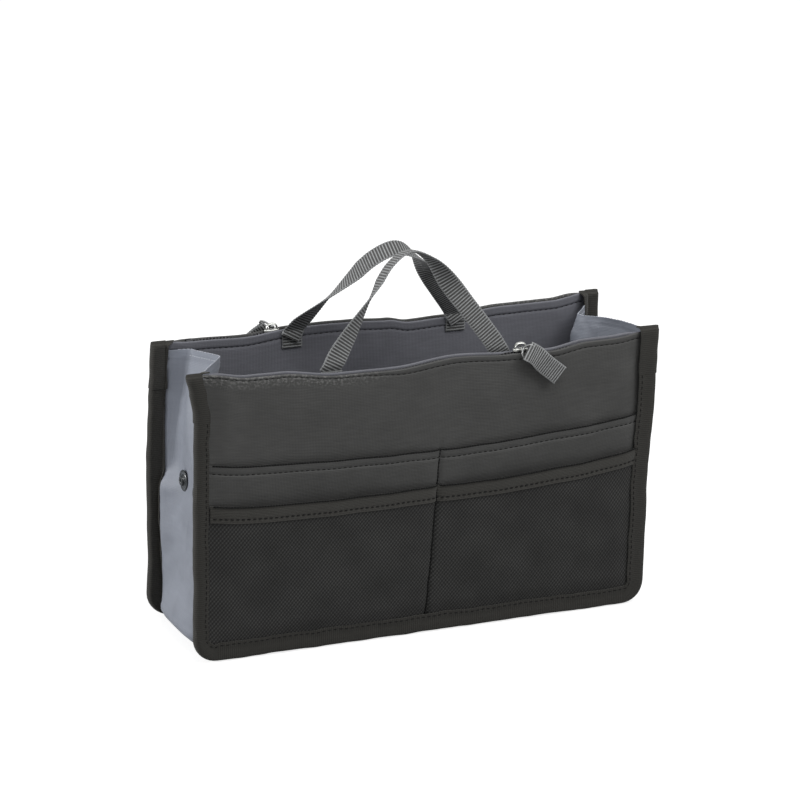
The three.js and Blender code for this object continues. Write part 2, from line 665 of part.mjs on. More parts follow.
function addSnaps(gusset) {
  const ring = SNAP_RING / 2;
  const knob = SNAP_KNOB / 2;
  const post = SNAP_POST / 2;
  const face = CLOTH / 2 + LAYER_GAP;
  const stud = [
    [0, -CLOTH / 2],
    [post, -CLOTH / 2],
    [post, face],
    [ring, face],
    [ring, face + 0.7],
    [ring - 0.8, face + 1.1],
    [knob * 0.8, face + 1.1],
    [knob, face + SNAP_REACH - 0.9],
    [knob * 0.7, face + SNAP_REACH],
    [0, face + SNAP_REACH],
  ];
  const socket = [
    [0, -CLOTH / 2],
    [post, -CLOTH / 2],
    [post, face],
    [ring, face],
    [ring, face + 1.8],
    [ring - 0.8, face + 2.4],
    [knob + 0.4, face + 2.4],
    [knob + 0.4, face + 0.8],
    [0, face + 0.8],
  ];
  const cap = [
    [0, -face],
    [ring * 0.95, -face],
    [ring * 0.95, -face - 0.5],
    [ring * 0.6, -face - 1.3],
    [0, -face - 1.5],
  ];
  let strip = solid(gusset);
  for (const [side, word] of [[-1, "left"], [1, "right"]]) {
    for (const [half, kind, profile] of [[1, "stud", stud], [-1, "socket", socket]]) {
      const y = (half * SNAP_SPREAD) / 2;
      const hole = new THREE.CylinderGeometry(post + LAYER_GAP, post + LAYER_GAP, 4 * CLOTH, 16);
      hole.rotateZ(Math.PI / 2);
      hole.translate(side * SNAP_X, y, SNAP_HEIGHT);
      strip = strip.subtract(solid(hole));
      addPiece(`${word}_snap_${kind}`, "stud", snapPiece(profile, y, side), false);
      addPiece(`${word}_snap_${kind}_cap`, "stud", snapPiece(cap, y, side), false);
    }
  }
  addPiece("gusset_strip", "gusset", shapeOf(strip), false);
}

addSnaps(gussetStrip());
WALLS.forEach(addWall);

export default part;
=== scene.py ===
"""Open-topped cloth organiser: two walls with a zip along each rim, joined by one folding gusset.

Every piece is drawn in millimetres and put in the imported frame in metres. A wall is drawn as seen from
outside: x along it, n outward from its middle plane and z up.
"""
import math

import bmesh
import bpy
from bpy.props import FloatProperty, FloatVectorProperty, PointerProperty
from bpy.types import Operator, Panel, PropertyGroup
from mathutils import Matrix, Vector, noise


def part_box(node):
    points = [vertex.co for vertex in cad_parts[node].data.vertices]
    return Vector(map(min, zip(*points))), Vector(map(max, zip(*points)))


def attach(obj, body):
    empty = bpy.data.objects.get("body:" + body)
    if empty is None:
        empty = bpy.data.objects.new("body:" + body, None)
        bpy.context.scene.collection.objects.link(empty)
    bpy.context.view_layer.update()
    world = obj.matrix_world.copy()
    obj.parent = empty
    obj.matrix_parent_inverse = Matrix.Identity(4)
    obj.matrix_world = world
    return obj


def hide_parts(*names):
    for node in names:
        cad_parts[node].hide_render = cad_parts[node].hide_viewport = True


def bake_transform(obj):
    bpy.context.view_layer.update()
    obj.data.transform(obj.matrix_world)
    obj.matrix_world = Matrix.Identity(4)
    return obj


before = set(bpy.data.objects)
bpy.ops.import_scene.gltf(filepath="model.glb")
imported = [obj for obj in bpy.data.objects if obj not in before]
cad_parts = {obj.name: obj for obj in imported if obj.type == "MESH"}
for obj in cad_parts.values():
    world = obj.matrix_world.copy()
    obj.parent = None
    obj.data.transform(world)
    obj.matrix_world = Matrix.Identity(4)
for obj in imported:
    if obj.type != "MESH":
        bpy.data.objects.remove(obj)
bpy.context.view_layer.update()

bl_info = {
    "name": "Cloth organiser",
    "version": (1, 0, 0),
    "blender": (4, 5, 0),
    "location": "View3D > Sidebar > Organiser",
    "description": "Dresses the packed organiser in cloth, mesh, webbing, zips and press studs",
    "category": "Object",
}

MM = 0.001
SIDES = ("front", "back")
# Which way a wall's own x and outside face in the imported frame
TURN = {"front": 1, "back": -1}
ENDS = (("left", -1), ("right", 1))
WELD = 1e-6
WHITE = (1.0, 1.0, 1.0)
MULTIPLY = {"data_type": "RGBA", "blend_type": "MULTIPLY"}

# Sizes repeated from the part's source, in millimetres
HALF_LENGTH = 140.0
WALL_Y = -35.25
FLOOR_GAP = 0.4
CORNER_RADIUS = 14.0
BINDING_TOP = 170.0
SIDE_X = 131.0
SEAM_INSET = 9.0
GUSSET_TOP = 168.0
FOLD_START = 100.0
SIDE_DIP = 3.8
DIP_REACH = 8.0
LIP_Y = 31.3
EDGE_Y = 33.9
BASE_FLAT = 22.0
SNAP_HEIGHT = 91.0
SNAP_X = SIDE_X - SIDE_DIP
SNAP_Y = 13.2
ZIP_HALF = 118.0
WEB_N = -4.1
WEB_WIDTH = 12.0
HANDLE_LIFT = 0.7
HANDLE_HALF_SPAN = 50.0
HANDLE_RISE = 60.0
HANDLE_END = 10.0
PLATE_DROP = 0.2
PIN_LIFT = 2.7
PULL_DROOP = math.radians(39)
SLIDER_X = {"front": 56.0, "back": 68.0}
HANDLE_LEAN = {"front": math.radians(11.5), "back": math.radians(29.3)}
HANDLE_SHIFT = {"front": -6.0, "back": 6.0}
RIM = {side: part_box(f"{side}_outer_panel")[1][2] / MM for side in SIDES}

# Lengths along the walls' outer edge, which the binding follows from one top end to the other
EDGE_SIDE = BINDING_TOP - FLOOR_GAP - CORNER_RADIUS
EDGE_BEND = math.pi * CORNER_RADIUS / 2
EDGE_FLOOR = 2 * (HALF_LENGTH - CORNER_RADIUS)
EDGE_LENGTH = 2 * EDGE_SIDE + EDGE_FLOOR + 2 * EDGE_BEND

# Soft shapes of the walls. A pair is the left end, then the right end, seen from outside.
# The rim's rise and fall, as (x, height)
RIM_WAVE = {
    "front": ((-140, 5.4), (-127, 4.8), (-107, 1.5), (-88, 1.3), (-55, -2.7), (-21, -3.0), (17, 0.6),
              (49, -1.1), (74, -1.8), (98, 1.5), (112, 1.7), (128, 3.0), (140, 3.4)),
    "back": ((-140, 4.2), (-127, 3.8), (-107, 1.7), (-75, 1.5), (-38, -1.7), (-16, -2.4), (-3, -0.1),
             (20, 1.2), (37, 1.5), (56, 1.2), (86, -1.5), (112, -0.8), (126, -0.5), (140, -0.3)),
}
# How far a wall's ends stand out of true, as (height, shift), from SPLAY_START along the wall on
SPLAY_START = 95.0
SPLAY_FULL = 138.0
SPLAY = {
    "front": (((0, -0.8), (20, -1.0), (120, -1.2), (148, -1.6), (160, 0.2), (170, 2.6)),
              ((0, 0.6), (20, 0.3), (85, 0.0), (100, 1.2), (125, 2.2), (170, 2.2))),
    "back": (((0, 0.0), (120, -1.2), (170, -2.0)),
             ((0, 2.4), (15, 3.0), (45, 2.5), (80, 3.1), (115, 2.5), (132, 1.8), (150, 0.6), (170, 0.0))),
}
# Seed of each wall's ripples
SEED = {"front": 3.1, "back": 17.7}
# Outward place of a wall's cloths where they are pinched together
CLOTH_REST = 0.45
# Radius of the rolled rim, and the sheets' inset from the wall's lower edge
ROLL = 0.55
SHEET_INSET = 1.2
# Distance of the hem's stitches below the rim, outside and inside
HEM_DROP = {1: 3.1, -1: 4.9}
# How much nearer the rim the outer stitches run in the wall's left part, where the hem is rolled tighter
HEM_TIGHT = {"front": 1.7, "back": 0.0}
# Rows this near a sheet's top edge keep their distance from it
RIM_ZONE = 20.0
MOUTH_ZONE = 10.0
PANEL_ROWS = (18, 16, 14, 12, 10, 8.4, 7.2, 6.3, 5.6, 5.0, 4.5, 4.0, 3.5, 3.1, 2.7, 2.2, 1.6, 1.0)
POCKET_ROWS = (8.4, 7.0, 6.0, 5.4, 4.8, 4.2, 3.4, 2.2, 1.0, 0.0)
HEM_TAPE_ROWS = (0, 0.6, 1.4, 2.1, 2.6, 3.1, 4.2, 6.0, 7.8, 8.5, 9.1, 9.6, 10.0)
# How far each layer reaches to both sides, under the binding
PANEL_REACH = 138.2
POCKET_REACH = 137.6
HEM_REACH = 131.0
# Where the pockets' dividing seam stands, at the foot and at DIVIDER_TOP, and the finer columns beside it
DIVIDER = {"front": (0.0, 7.5), "back": (1.0, -4.0)}
DIVIDER_TOP = 115.0
DIVIDER_ZONE = (-7.0, 12.0)
# Heights of the pockets' top edges at the left, the divider and the right, and where their sides are sewn
SLIP_EDGE = {"front": (117.0, 111.5, 119.0), "back": (116.5, 113.0, 117.5)}
MESH_EDGE = {"front": (93.5, 90.3, 98.0), "back": (94.5, 91.0, 95.5)}
POCKET_SIDE = 130.0
MESH_THICKNESS = 0.45
MESH_HEM_HEIGHT = 9.6
HEM_TAPE_THICKNESS = 0.5
# Where the pale flecks on the outer cloth start and are full: height, then place along the wall
LINT_HEIGHT = (157, 162)
LINT_REACH = (-15, -60)

# Binding: inner and outer flange of the tape and of its wrapped ends, the faces that it grips and its fold
TAPE_FLANGES = (9.5, 6.0)
WRAP_FLANGES = (11.4, 6.6)
WRAP_LENGTH = 28.0
WRAP_RISE = 0.9
WRAP_LIFT = 0.5
WRAP_ROWS = (-0.6, -0.2, 0.3)
GRIP = (-2.4, 3.3)
GRIP_MIDDLE = 0.45
TAPE_BEND = 1.9
# Places round the folded tape, in hundredths, closer together at the fold
FOLD_SHARES = [0, 5, 12, 20, 28, 34, 38, 42, 46, 50, 54, 58, 62, 68, 76, 84, 90, 95, 100]
# How far each top corner of the binding stands above its true height
CORNER_LIFT = {"front": (0.0, 0.0), "back": (1.4, -3.4)}
# How much further in the binding's outer flange reaches at each end
FLANGE_SHIFT = {"front": (0.0, 3.4), "back": (0.0, 0.0)}

# Gusset, by its left end (-1) and right end (1)
# The inward fold at the hem: depth of its point, where that stands and the depth of the rear lap
FOLDS = {-1: (21.0, -1.6, 12.5), 1: (13.0, 20.0, 0.0)}
LAP_START = 87.0
LAP_REACH = 3.0
# Depth of the pleat in the fold, its height and half its extent
PLEAT = {-1: 0.0, 1: 7.0}
PLEAT_HEIGHT = 143.0
PLEAT_EXTENT = 18.0
# How much more the cloth crumples towards the hem
WRINKLE = {-1: 0.0, 1: 1.6}
# How far the hem climbs from the fold's point to its front and rear ends, and sags at the point
HEM_LIFT = {-1: (0.6, -5.2), 1: (1.5, 2.0)}
HEM_SAG = {-1: 0.0, 1: 5.5}
HEM_FADE = 60.0
# How far the low parts of each end stand out: near the floor, and beside the rear binding below the studs
BELLY = {-1: 7.0, 1: 4.0}
SWELL = {-1: 4.5, 1: 3.0}
# The strip lies flat on the floor from this far in from each end
BASE_EASE = 23.0
# Distance of the hem's inner stitches below its edge, and the rows made finer beside them and at the flange
GUSSET_HEM = 3.6
GUSSET_HEM_ROWS = (0.7, GUSSET_HEM, 4.4)
GUSSET_FLANGE_ROWS = (-1.2, 0.0, 1.5, 6.5)
# How far round itself a stud holds the cloth flat
STUD_SPREAD = 9.0
STUD_FACETS = 40

# Press studs' profiles, as (radius, height over the cloth)
CAP_PROFILE = ((1.0, -0.6), (5.8, -0.6), (5.95, -0.9), (5.6, -1.3), (3.8, -1.9), (0.0, -2.1))
STUD_PROFILES = {
    "stud": ((1.2, -0.3), (1.2, 0.6), (6.0, 0.6), (6.25, 0.85), (6.25, 1.3), (5.8, 1.7), (4.9, 1.75),
             (4.4, 1.5), (3.4, 1.5), (3.05, 1.7), (2.9, 2.1), (2.9, 2.6), (2.75, 2.95), (2.3, 3.15),
             (1.8, 3.1), (1.4, 2.8), (1.2, 1.9), (0.0, 1.8)),
    "socket": ((1.2, -0.3), (1.2, 0.6), (6.0, 0.6), (6.25, 0.9), (6.25, 2.3), (5.9, 2.75), (5.2, 3.0),
               (3.6, 3.0), (3.0, 2.8), (2.9, 2.3), (2.9, 1.4), (0.0, 1.4)),
    "stud_cap": CAP_PROFILE,
    "socket_cap": CAP_PROFILE,
}

# Straps. A handle's half line runs from its top to its hinge, in shares of its half span and rise, and on to
# the end of its tail.
HANDLE_KNOTS = ((0.0, 1.0), (0.25, 0.89), (0.48, 0.63), (0.78, 0.28), (0.93, 0.1), (1.0, 0.0))
HANDLE_TAIL = Vector((2.6, 4.6, 0))
# The leg, left (-1) or right (1), on which each handle starts its quarter turn early
EARLY_LEG = {"front": -1, "back": 1}
# Sewn patch of a handle's end: distance outward along the rim, place through the wall, height, webbing
PATCH_SHIFT = 0.8
PATCH_N = -3.72
PATCH_HEIGHT = 8.4
PATCH_WEBBING = (WEB_WIDTH + 0.6, 1.05)
# Webbing is drawn with this many points for each rib
RIB_POINTS = 4
# Columns round a webbing's section: -50 to 50 over its face, 51 to 151 back under it
WEB_FACE = (-50, -49, -46, -40, -30, -20, -10, 0, 10, 20, 30, 40, 46, 49, 50)
WEB_AROUND = [*WEB_FACE, *(101 - a for a in WEB_FACE[-2:0:-1]), 151]

# Zips: a tape's lower and upper edge from the rim, a tooth's half sizes, an end stop's sizes
ZIP_TAPE = (-11.5, -1.0)
ZIP_TAPE_N = 1.9
ZIP_TAPE_THICKNESS = 0.4
TOOTH = (0.55, 0.72, 0.62)
TOOTH_N = 1.16
TOOTH_DROP = 1.5
TOOTH_MARGIN = 3.5
STOP = (2.4, 3, 2.8)
# Sliders: the plate's half length, half width and height, the line of the bail and its bar's half sizes
PLATE = (4.5, 1.75, 1.3)
BAIL_KNOTS = ((-3.2, -0.3), (-3.0, 1.6), (-1.9, 2.9), (0, 3.3), (1.9, 2.9), (3.0, 1.6), (3.2, -0.3))
BAIL_BAR = (0.55, 1.15)
BAIL_FACETS = 16
# Wire of the pull, as (down, outward, across): a headed stem by its outward place and radius, then a loop
STEM = ((-1.95, 0.2), (-1.9, 0.9), (-1.7, 1.2), (-1.35, 1.2), (-1.3, 1.0), (-1.2, 0.5), (0.0, 0.5),
        (2.0, 0.5), (3.6, 0.5), (4.3, 0.4))
LOOP_KNOTS = ((0.2, 4.0, 0.0), (0.5, 4.7, -1.4), (1.5, 5.6, -3.5), (2.7, 6.2, -4.2), (3.3, 6.5, -3.2),
              (3.3, 6.5, 3.2), (2.7, 6.2, 4.2), (1.5, 5.6, 3.5), (0.5, 4.7, 1.4), (0.2, 4.0, 0.0))
LOOP_RADIUS = 0.6
WIRE_FACETS = 10
# Any direction that no part of the wire runs along
WIRE_ASIDE = Vector((0.31, 0.87, 0.38))
# Pull tab: (down, outward from TAB_N) along its doubled webbing, its webbing, its turn and slip on the link
TAB_KNOTS = ((28.3, -0.6), (20, -0.6), (12, -0.6), (7.0, -0.7), (4.0, -1.2), (1.9, 0), (4.0, 1.2), (7.0, 0.7),
             (12, 0.6), (20, 0.6), (28.3, 0.6))
TAB_N = 7.0
TAB_WEBBING = (12.0, 1.1)
TAB_RIBS = 0.85
TAB_LEAN = math.radians(20)
TAB_SLIP = {"front": 0.0, "back": 2.4}

# Stitches: gap between two and radius; a gap below 0 makes them overlap into a line
HEM_STITCH = (0.9, 0.26)
POCKET_STITCH = (0.7, 0.3)
# The mouth lines are painted shadow: dark thread overlapped into a solid line along each pocket's mouth,
# standing for the shade in its gap.
MOUTH_SHADOW_LINE = (-0.9, 0.5)
# The divider's row is a real seam, overlapped into a solid line that also paints the shade of its groove.
DIVIDER_STITCH_AND_SHADOW = (-0.5, 0.5)
SEWN_REACH = 129.0

# Lamps: name, place and size in metres, power in watts
LAMPS = (
    ("key", (0.62, -0.7, 0.95), 0.5, 5.0),
    ("side", (-2.0, 0.45, 0.7), 0.6, 28),
    ("top", (0.1, -0.7, 1.9), 1.0, 16),
)


def linear(text):
    """An sRGB hex colour as linear RGB."""
    shades = [int(text[i:i + 2], 16) / 255 for i in (1, 3, 5)]
    return tuple(s / 12.92 if s <= 0.04045 else ((s + 0.055) / 1.055) ** 2.4 for s in shades)


def clamp(value):
    """The value held between 0 and 1."""
    return min(1.0, max(0.0, value))


def smooth(low, high, value):
    """0 at low and 1 at high, with a soft start and end."""
    share = clamp((value - low) / (high - low))
    return share * share * (3 - 2 * share)


def along(knots, x):
    """Height at x on a soft line through (x, height) knots."""
    for (x0, h0), (x1, h1) in zip(knots, knots[1:]):
        if x <= x1:
            return h0 + (h1 - h0) * smooth(x0, x1, x)
    return knots[-1][1]


def dent(distance, width):
    """The soft valley that a row of stitches pulls into cloth, 1 at its line."""
    return math.exp(-((distance / width) ** 2))


def steps(start, end, spacing):
    """Even numbers from start to end, about spacing apart."""
    count = max(1, round(abs(end - start) / spacing))
    return [start + (end - start) * i / count for i in range(count + 1)]


def ripple(x, z, seed, size):
    """Smooth noise from -1 to 1, of that size in millimetres."""
    return noise.noise(Vector((x / size, z / size, seed)))


def splay(side, x, z):
    """How far a wall's soft end stands out of true at that height."""
    if abs(x) < SPLAY_START:
        return 0.0
    shift = along(SPLAY[side][0 if x < 0 else 1], z) * smooth(SPLAY_START, SPLAY_FULL, abs(x))
    return shift if x > 0 else -shift


def wall_point(side, x, n, z):
    """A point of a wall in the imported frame, in metres."""
    turn = TURN[side]
    return Vector((turn * (x + splay(side, x, z)), turn * (WALL_Y - n), z)) * MM


def outward(side, face):
    """Direction out of a wall's outer cloth (face 1) or its lining (face -1)."""
    return Vector((0, -TURN[side] * face, 0))


# Materials


def fill(tree, node, inputs):
    """Sets a node's inputs; an input is a value or the output socket to link."""
    for key, value in inputs.items():
        if isinstance(value, bpy.types.NodeSocket):
            tree.links.new(value, node.inputs[key])
        else:
            node.inputs[key].default_value = value


def add_node(tree, kind, give=None, inputs=None, stops=(), **settings):
    """Adds a node with its settings and links, and gives the named output or all of them. The kind leaves out
    ShaderNode, and stops are the (place, linear colour) marks of a colour ramp."""
    made = tree.nodes.new("ShaderNode" + kind)
    for key, value in settings.items():
        setattr(made, key, value)
    if stops:
        marks = made.color_ramp.elements
        while len(marks) < len(stops):
            marks.new(0.5)
        for mark, (place, colour) in zip(marks, stops):
            mark.position = place
            mark.color = (*colour, 1)
    fill(tree, made, inputs or {})
    return made.outputs if give is None else made.outputs[give]


def bands(period):
    """Scale of a Wave Texture whose bands repeat every period millimetres."""
    return 2 * math.pi / (20 * period * MM)


def blots(size):
    """Scale of a Noise Texture whose blots are about size millimetres wide."""
    return 1 / (size * MM)


def fresh(name):
    """A new material with only its Principled shader and output: the material, its tree and the shader."""
    material = bpy.data.materials.new(name)
    material.use_nodes = True
    return material, material.node_tree, material.node_tree.nodes["Principled BSDF"]


def shade(colour, factor):
    """A colour made darker or lighter."""
    return tuple(min(1.0, c * factor) for c in colour)


def linted(tree, uv, tone, colour):
    """Pale flecks of rubbed yarn along a wall's hem, thickest at its left end, over the cloth's own tone."""
    place = add_node(tree, "SeparateXYZ", None, {"Vector": uv})
    yarn = add_node(tree, "TexNoise", "Fac", {"Vector": uv, "Scale": blots(1.5), "Detail": 3.0})
    high, left = ([size * MM for size in reach] for reach in (LINT_HEIGHT, LINT_REACH))
    share = 1.0
    for value, (none, full) in ((place["Y"], high), (place["X"], left), (yarn, (0.47, 0.68))):
        level = add_node(tree, "MapRange", 0, {"Value": value, "From Min": none, "From Max": full})
        share = add_node(tree, "Math", 0, {0: level, 1: share}, operation="MULTIPLY")
    pale = (*shade(colour, 2.7), 1)
    return add_node(tree, "Mix", 2, {"Factor": share, 6: tone, 7: pale}, data_type="RGBA")


def woven(name, colour, roughness, sheen, mottle, upright, streak, lint=False):
    """Plain-woven coated nylon: crossing threads, streaks along the weft, a slow drift of shade and a dry,
    slightly waxy gloss. The threads are drawn 0.9 mm apart so that they show; upright is the warp's share of
    the relief."""
    material, tree, shader = fresh(name)
    uv = add_node(tree, "TexCoord", "UV")
    threads = {"Vector": uv, "Scale": bands(0.9), "Distortion": 0.6, "Detail": 1.0}
    warp = add_node(tree, "TexWave", "Fac", threads, bands_direction="X")
    weft = add_node(tree, "TexWave", "Fac", threads, bands_direction="Y")
    weave = add_node(tree, "Mix", 0, {"Factor": upright, 2: weft, 3: warp})
    drift = add_node(tree, "TexNoise", "Fac", {"Vector": uv, "Scale": blots(18), "Detail": 3.0})
    drawn = add_node(tree, "Mapping", 0, {"Vector": uv, "Scale": (0.15, 1, 1)})
    slub = add_node(tree, "TexNoise", "Fac", {"Vector": drawn, "Scale": blots(1.6), "Detail": 3.0})
    stops = ((0.3, shade(colour, 1 - mottle)), (0.7, shade(colour, 1 + mottle)))
    base = add_node(tree, "ValToRGB", "Color", {"Fac": drift}, stops)
    fleck = add_node(tree, "ValToRGB", "Color", {"Fac": slub}, ((0.3, [1 - streak] * 3), (0.7, WHITE)))
    tone = add_node(tree, "Mix", 2, {"Factor": 1.0, 6: base, 7: fleck}, **MULTIPLY)
    if lint:
        tone = linted(tree, uv, tone, colour)
    bump = add_node(tree, "Bump", "Normal", {"Height": weave, "Strength": 0.45, "Distance": 0.18 * MM})
    fill(tree, shader, {"Base Color": tone, "Normal": bump, "Roughness": roughness,
                        "Specular IOR Level": 0.35, "Sheen Weight": sheen, "Sheen Roughness": 0.5})
    return material


def netted(name, colour):
    """Warp-knitted polyester mesh: a diamond net of fine ribs over dark holes. The ribs are drawn 1.7 mm
    apart, coarser than the real net, so that they show."""
    material, tree, shader = fresh(name)
    uv = add_node(tree, "TexCoord", "UV")
    ribs = []
    for angle in (38, -38):
        turned = add_node(tree, "Mapping", 0, {"Vector": uv, "Rotation": (0, 0, math.radians(angle))})
        rib = {"Vector": turned, "Scale": bands(1.7), "Distortion": 0.4}
        ribs.append(add_node(tree, "TexWave", "Fac", rib, bands_direction="X"))
    height = add_node(tree, "Mix", 0, {"Factor": 0.36, 2: ribs[0], 3: ribs[1]})
    stops = ((0.2, shade(colour, 0.4)), (0.55, shade(colour, 0.85)), (0.85, shade(colour, 1.6)))
    net = add_node(tree, "ValToRGB", "Color", {"Fac": height}, stops)
    drift = add_node(tree, "TexNoise", "Fac", {"Vector": uv, "Scale": blots(25), "Detail": 2.0})
    cast = add_node(tree, "ValToRGB", "Color", {"Fac": drift}, ((0.3, [0.68] * 3), (0.7, [1.05] * 3)))
    tone = add_node(tree, "Mix", 2, {"Factor": 1.0, 6: net, 7: cast}, **MULTIPLY)
    bump = add_node(tree, "Bump", "Normal", {"Height": height, "Strength": 0.6, "Distance": 0.3 * MM})
    fill(tree, shader, {"Base Color": tone, "Normal": bump, "Roughness": 0.72, "Specular IOR Level": 0.3})
    return material


def taped(name, colour, rib):
    """Woven polyester edging tape: fine ribs across its length and a matt, faintly fuzzy face."""
    material, tree, shader = fresh(name)
    uv = add_node(tree, "TexCoord", "UV")
    rows = {"Vector": uv, "Scale": bands(rib), "Distortion": 1.2, "Detail": 2.0}
    ribs = add_node(tree, "TexWave", "Fac", rows, bands_direction="Y")
    fuzz = add_node(tree, "TexNoise", "Fac", {"Vector": uv, "Scale": blots(0.9), "Detail": 3.0})
    height = add_node(tree, "Math", 0, {0: ribs, 1: fuzz}, operation="ADD")
    stops = ((0.35, shade(colour, 0.62)), (1.0, shade(colour, 1.2)))
    tone = add_node(tree, "ValToRGB", "Color", {"Fac": height}, stops)
    bump = add_node(tree, "Bump", "Normal", {"Height": height, "Strength": 0.5, "Distance": 0.2 * MM})
    fill(tree, shader, {"Base Color": tone, "Normal": bump, "Roughness": 0.85, "Specular IOR Level": 0.25,
                        "Sheen Weight": 0.12})
    return material


def ribbed(name, light, dark, pitch):
    """Woven polypropylene webbing: round grey ribs across the strap, each rib split into yarns, and a plain
    woven edge. The ribs' colour carries a painted highlight on each crest and painted shade in the gaps
    between, in step with the raised ribs."""
    material, tree, shader = fresh(name)
    uv = add_node(tree, "TexCoord", "UV")
    rib = add_node(tree, "TexWave", "Fac", {"Vector": uv, "Scale": bands(pitch)}, bands_direction="Y")
    yarns = {"Vector": uv, "Scale": bands(1.2), "Distortion": 1.0}
    yarn = add_node(tree, "TexWave", "Fac", yarns, bands_direction="X")
    # Painted highlight at the rib crests (light) and painted shade in the gaps (dark), in step with the ribs'
    # relief
    stops = ((0.4, dark), (0.75, shade(light, 0.6)), (0.95, light))
    tone = add_node(tree, "ValToRGB", "Color", {"Fac": rib}, stops)
    # The section's columns, folded over at its edges, give the distance from the strap's middle line
    away = add_node(tree, "SeparateXYZ", "X", {"Vector": uv})
    for operation, columns in (("ADD", 50.5), ("PINGPONG", 100.5), ("SUBTRACT", 50.2), ("ABSOLUTE", 0)):
        away = add_node(tree, "Math", 0, {0: away, 1: columns * MM}, operation=operation)
    edge = add_node(tree, "MapRange", 0, {"Value": away, "From Min": 43 * MM, "From Max": 47 * MM})
    selvedge = (*shade(light, 0.7), 1)
    tone = add_node(tree, "Mix", 2, {"Factor": edge, 6: tone, 7: selvedge}, data_type="RGBA")
    drift = add_node(tree, "TexNoise", "Fac", {"Vector": uv, "Scale": blots(3), "Detail": 2.0})
    cast = add_node(tree, "ValToRGB", "Color", {"Fac": drift}, ((0.3, [0.72] * 3), (0.65, WHITE)))
    tone = add_node(tree, "Mix", 2, {"Factor": 1.0, 6: tone, 7: cast}, **MULTIPLY)
    bump = add_node(tree, "Bump", "Normal", {"Height": yarn, "Strength": 0.3, "Distance": 0.15 * MM})
    fill(tree, shader, {"Base Color": tone, "Normal": bump, "Roughness": 0.6, "Specular IOR Level": 0.35,
                        "Sheen Weight": 0.1})
    return material


def plated(name, colour, roughness):
    """Bright nickel plating on cast zinc or steel wire: a cool mirror, softened by tumbling marks and small
    rubs."""
    material, tree, shader = fresh(name)
    place = add_node(tree, "TexCoord", "Object")
    rub = add_node(tree, "TexNoise", "Fac", {"Vector": place, "Scale": blots(1.4), "Detail": 4.0})
    tone = add_node(tree, "ValToRGB", "Color", {"Fac": rub}, ((0.3, shade(colour, 0.8)), (0.65, colour)))
    dull = {"Value": rub, "To Min": roughness - 0.07, "To Max": roughness + 0.12}
    wear = add_node(tree, "MapRange", 0, dull)
    bump = add_node(tree, "Bump", "Normal", {"Height": rub, "Strength": 0.12, "Distance": 0.1 * MM})
    fill(tree, shader, {"Base Color": tone, "Normal": bump, "Roughness": wear, "Metallic": 1.0})
    return material


def moulded(name, colour, roughness):
    """Injection-moulded acetal: an even dark skin with a fine spark-eroded grain and a soft highlight."""
    material, tree, shader = fresh(name)
    place = add_node(tree, "TexCoord", "Object")
    grain = add_node(tree, "TexNoise", "Fac", {"Vector": place, "Scale": blots(0.7), "Detail": 2.0})
    stops = ((0.3, shade(colour, 0.85)), (0.7, shade(colour, 1.15)))
    tone = add_node(tree, "ValToRGB", "Color", {"Fac": grain}, stops)
    bump = add_node(tree, "Bump", "Normal", {"Height": grain, "Strength": 0.15, "Distance": 0.1 * MM})
    fill(tree, shader, {"Base Color": tone, "Normal": bump, "Roughness": roughness})
    return material


def spun(name, colour):
    """Spun polyester sewing thread: short raised stitches with a slight gloss and a drift of shade."""
    material, tree, shader = fresh(name)
    place = add_node(tree, "TexCoord", "Object")
    fuzz = add_node(tree, "TexNoise", "Fac", {"Vector": place, "Scale": blots(2), "Detail": 2.0})
    stops = ((0.3, shade(colour, 0.8)), (0.7, shade(colour, 1.15)))
    tone = add_node(tree, "ValToRGB", "Color", {"Fac": fuzz}, stops)
    fill(tree, shader, {"Base Color": tone, "Roughness": 0.8, "Specular IOR Level": 0.2})
    return material


def finish(key):
    """The material of that key, made on first use from the panel's colours."""
    c = bpy.context.scene.organiser_colours
    pitch = bpy.context.scene.organiser_sizes.rib_pitch / MM
    # A woven cloth has its roughness, sheen, mottle, share of the warp and streaks, and lint on the outer one
    finishes = {
        "nylon": (woven, "woven_nylon_charcoal", c.wall, 0.6, 0.06, 0.07, 0.3, 0.16, True),
        "lining": (woven, "woven_nylon_lining", c.lining, 0.62, 0.06, 0.06, 0.6, 0.14),
        "gusset": (woven, "woven_nylon_blue_grey", c.gusset, 0.5, 0.1, 0.08, 0.5, 0.05),
        "mesh": (netted, "warp_knit_polyester_mesh", c.mesh),
        "hem": (taped, "woven_polyester_hem", c.hem, 0.9),
        "binding": (taped, "woven_polyester_binding", c.binding, 1.2),
        # The webbing's rib colour carries a painted highlight, its gap colour painted shade.
        "webbing": (ribbed, "woven_polypropylene_webbing", c.webbing, c.webbing_gap_shade, pitch),
        # The tab is the same webbing painted 15% lighter, a painted highlight for its front-facing place.
        "tab": (ribbed, "woven_polypropylene_tab", shade(c.webbing, 1.15), c.webbing_gap_shade, TAB_RIBS * pitch),
        "zip_tape": (taped, "woven_polyester_zip_tape", c.zip_tape, 0.8),
        "zip_teeth": (moulded, "moulded_acetal_teeth", c.zip_teeth, 0.4),
        "metal": (plated, "nickel_plated_zinc", c.metal, 0.3),
        "link": (plated, "nickel_plated_steel_wire", c.link, 0.34),
        "stud": (moulded, "moulded_acetal_stud", c.stud, 0.24),
        # The dark thread also lays the painted shadow lines along the pockets' mouths.
        "thread": (spun, "spun_polyester_thread_dark", c.thread),
        "pale_thread": (spun, "spun_polyester_thread_pale", c.pale_thread),
    }
    maker, name, *looks = finishes[key]
    return bpy.data.materials.get(name) or maker(name, *looks)


# Mesh helpers


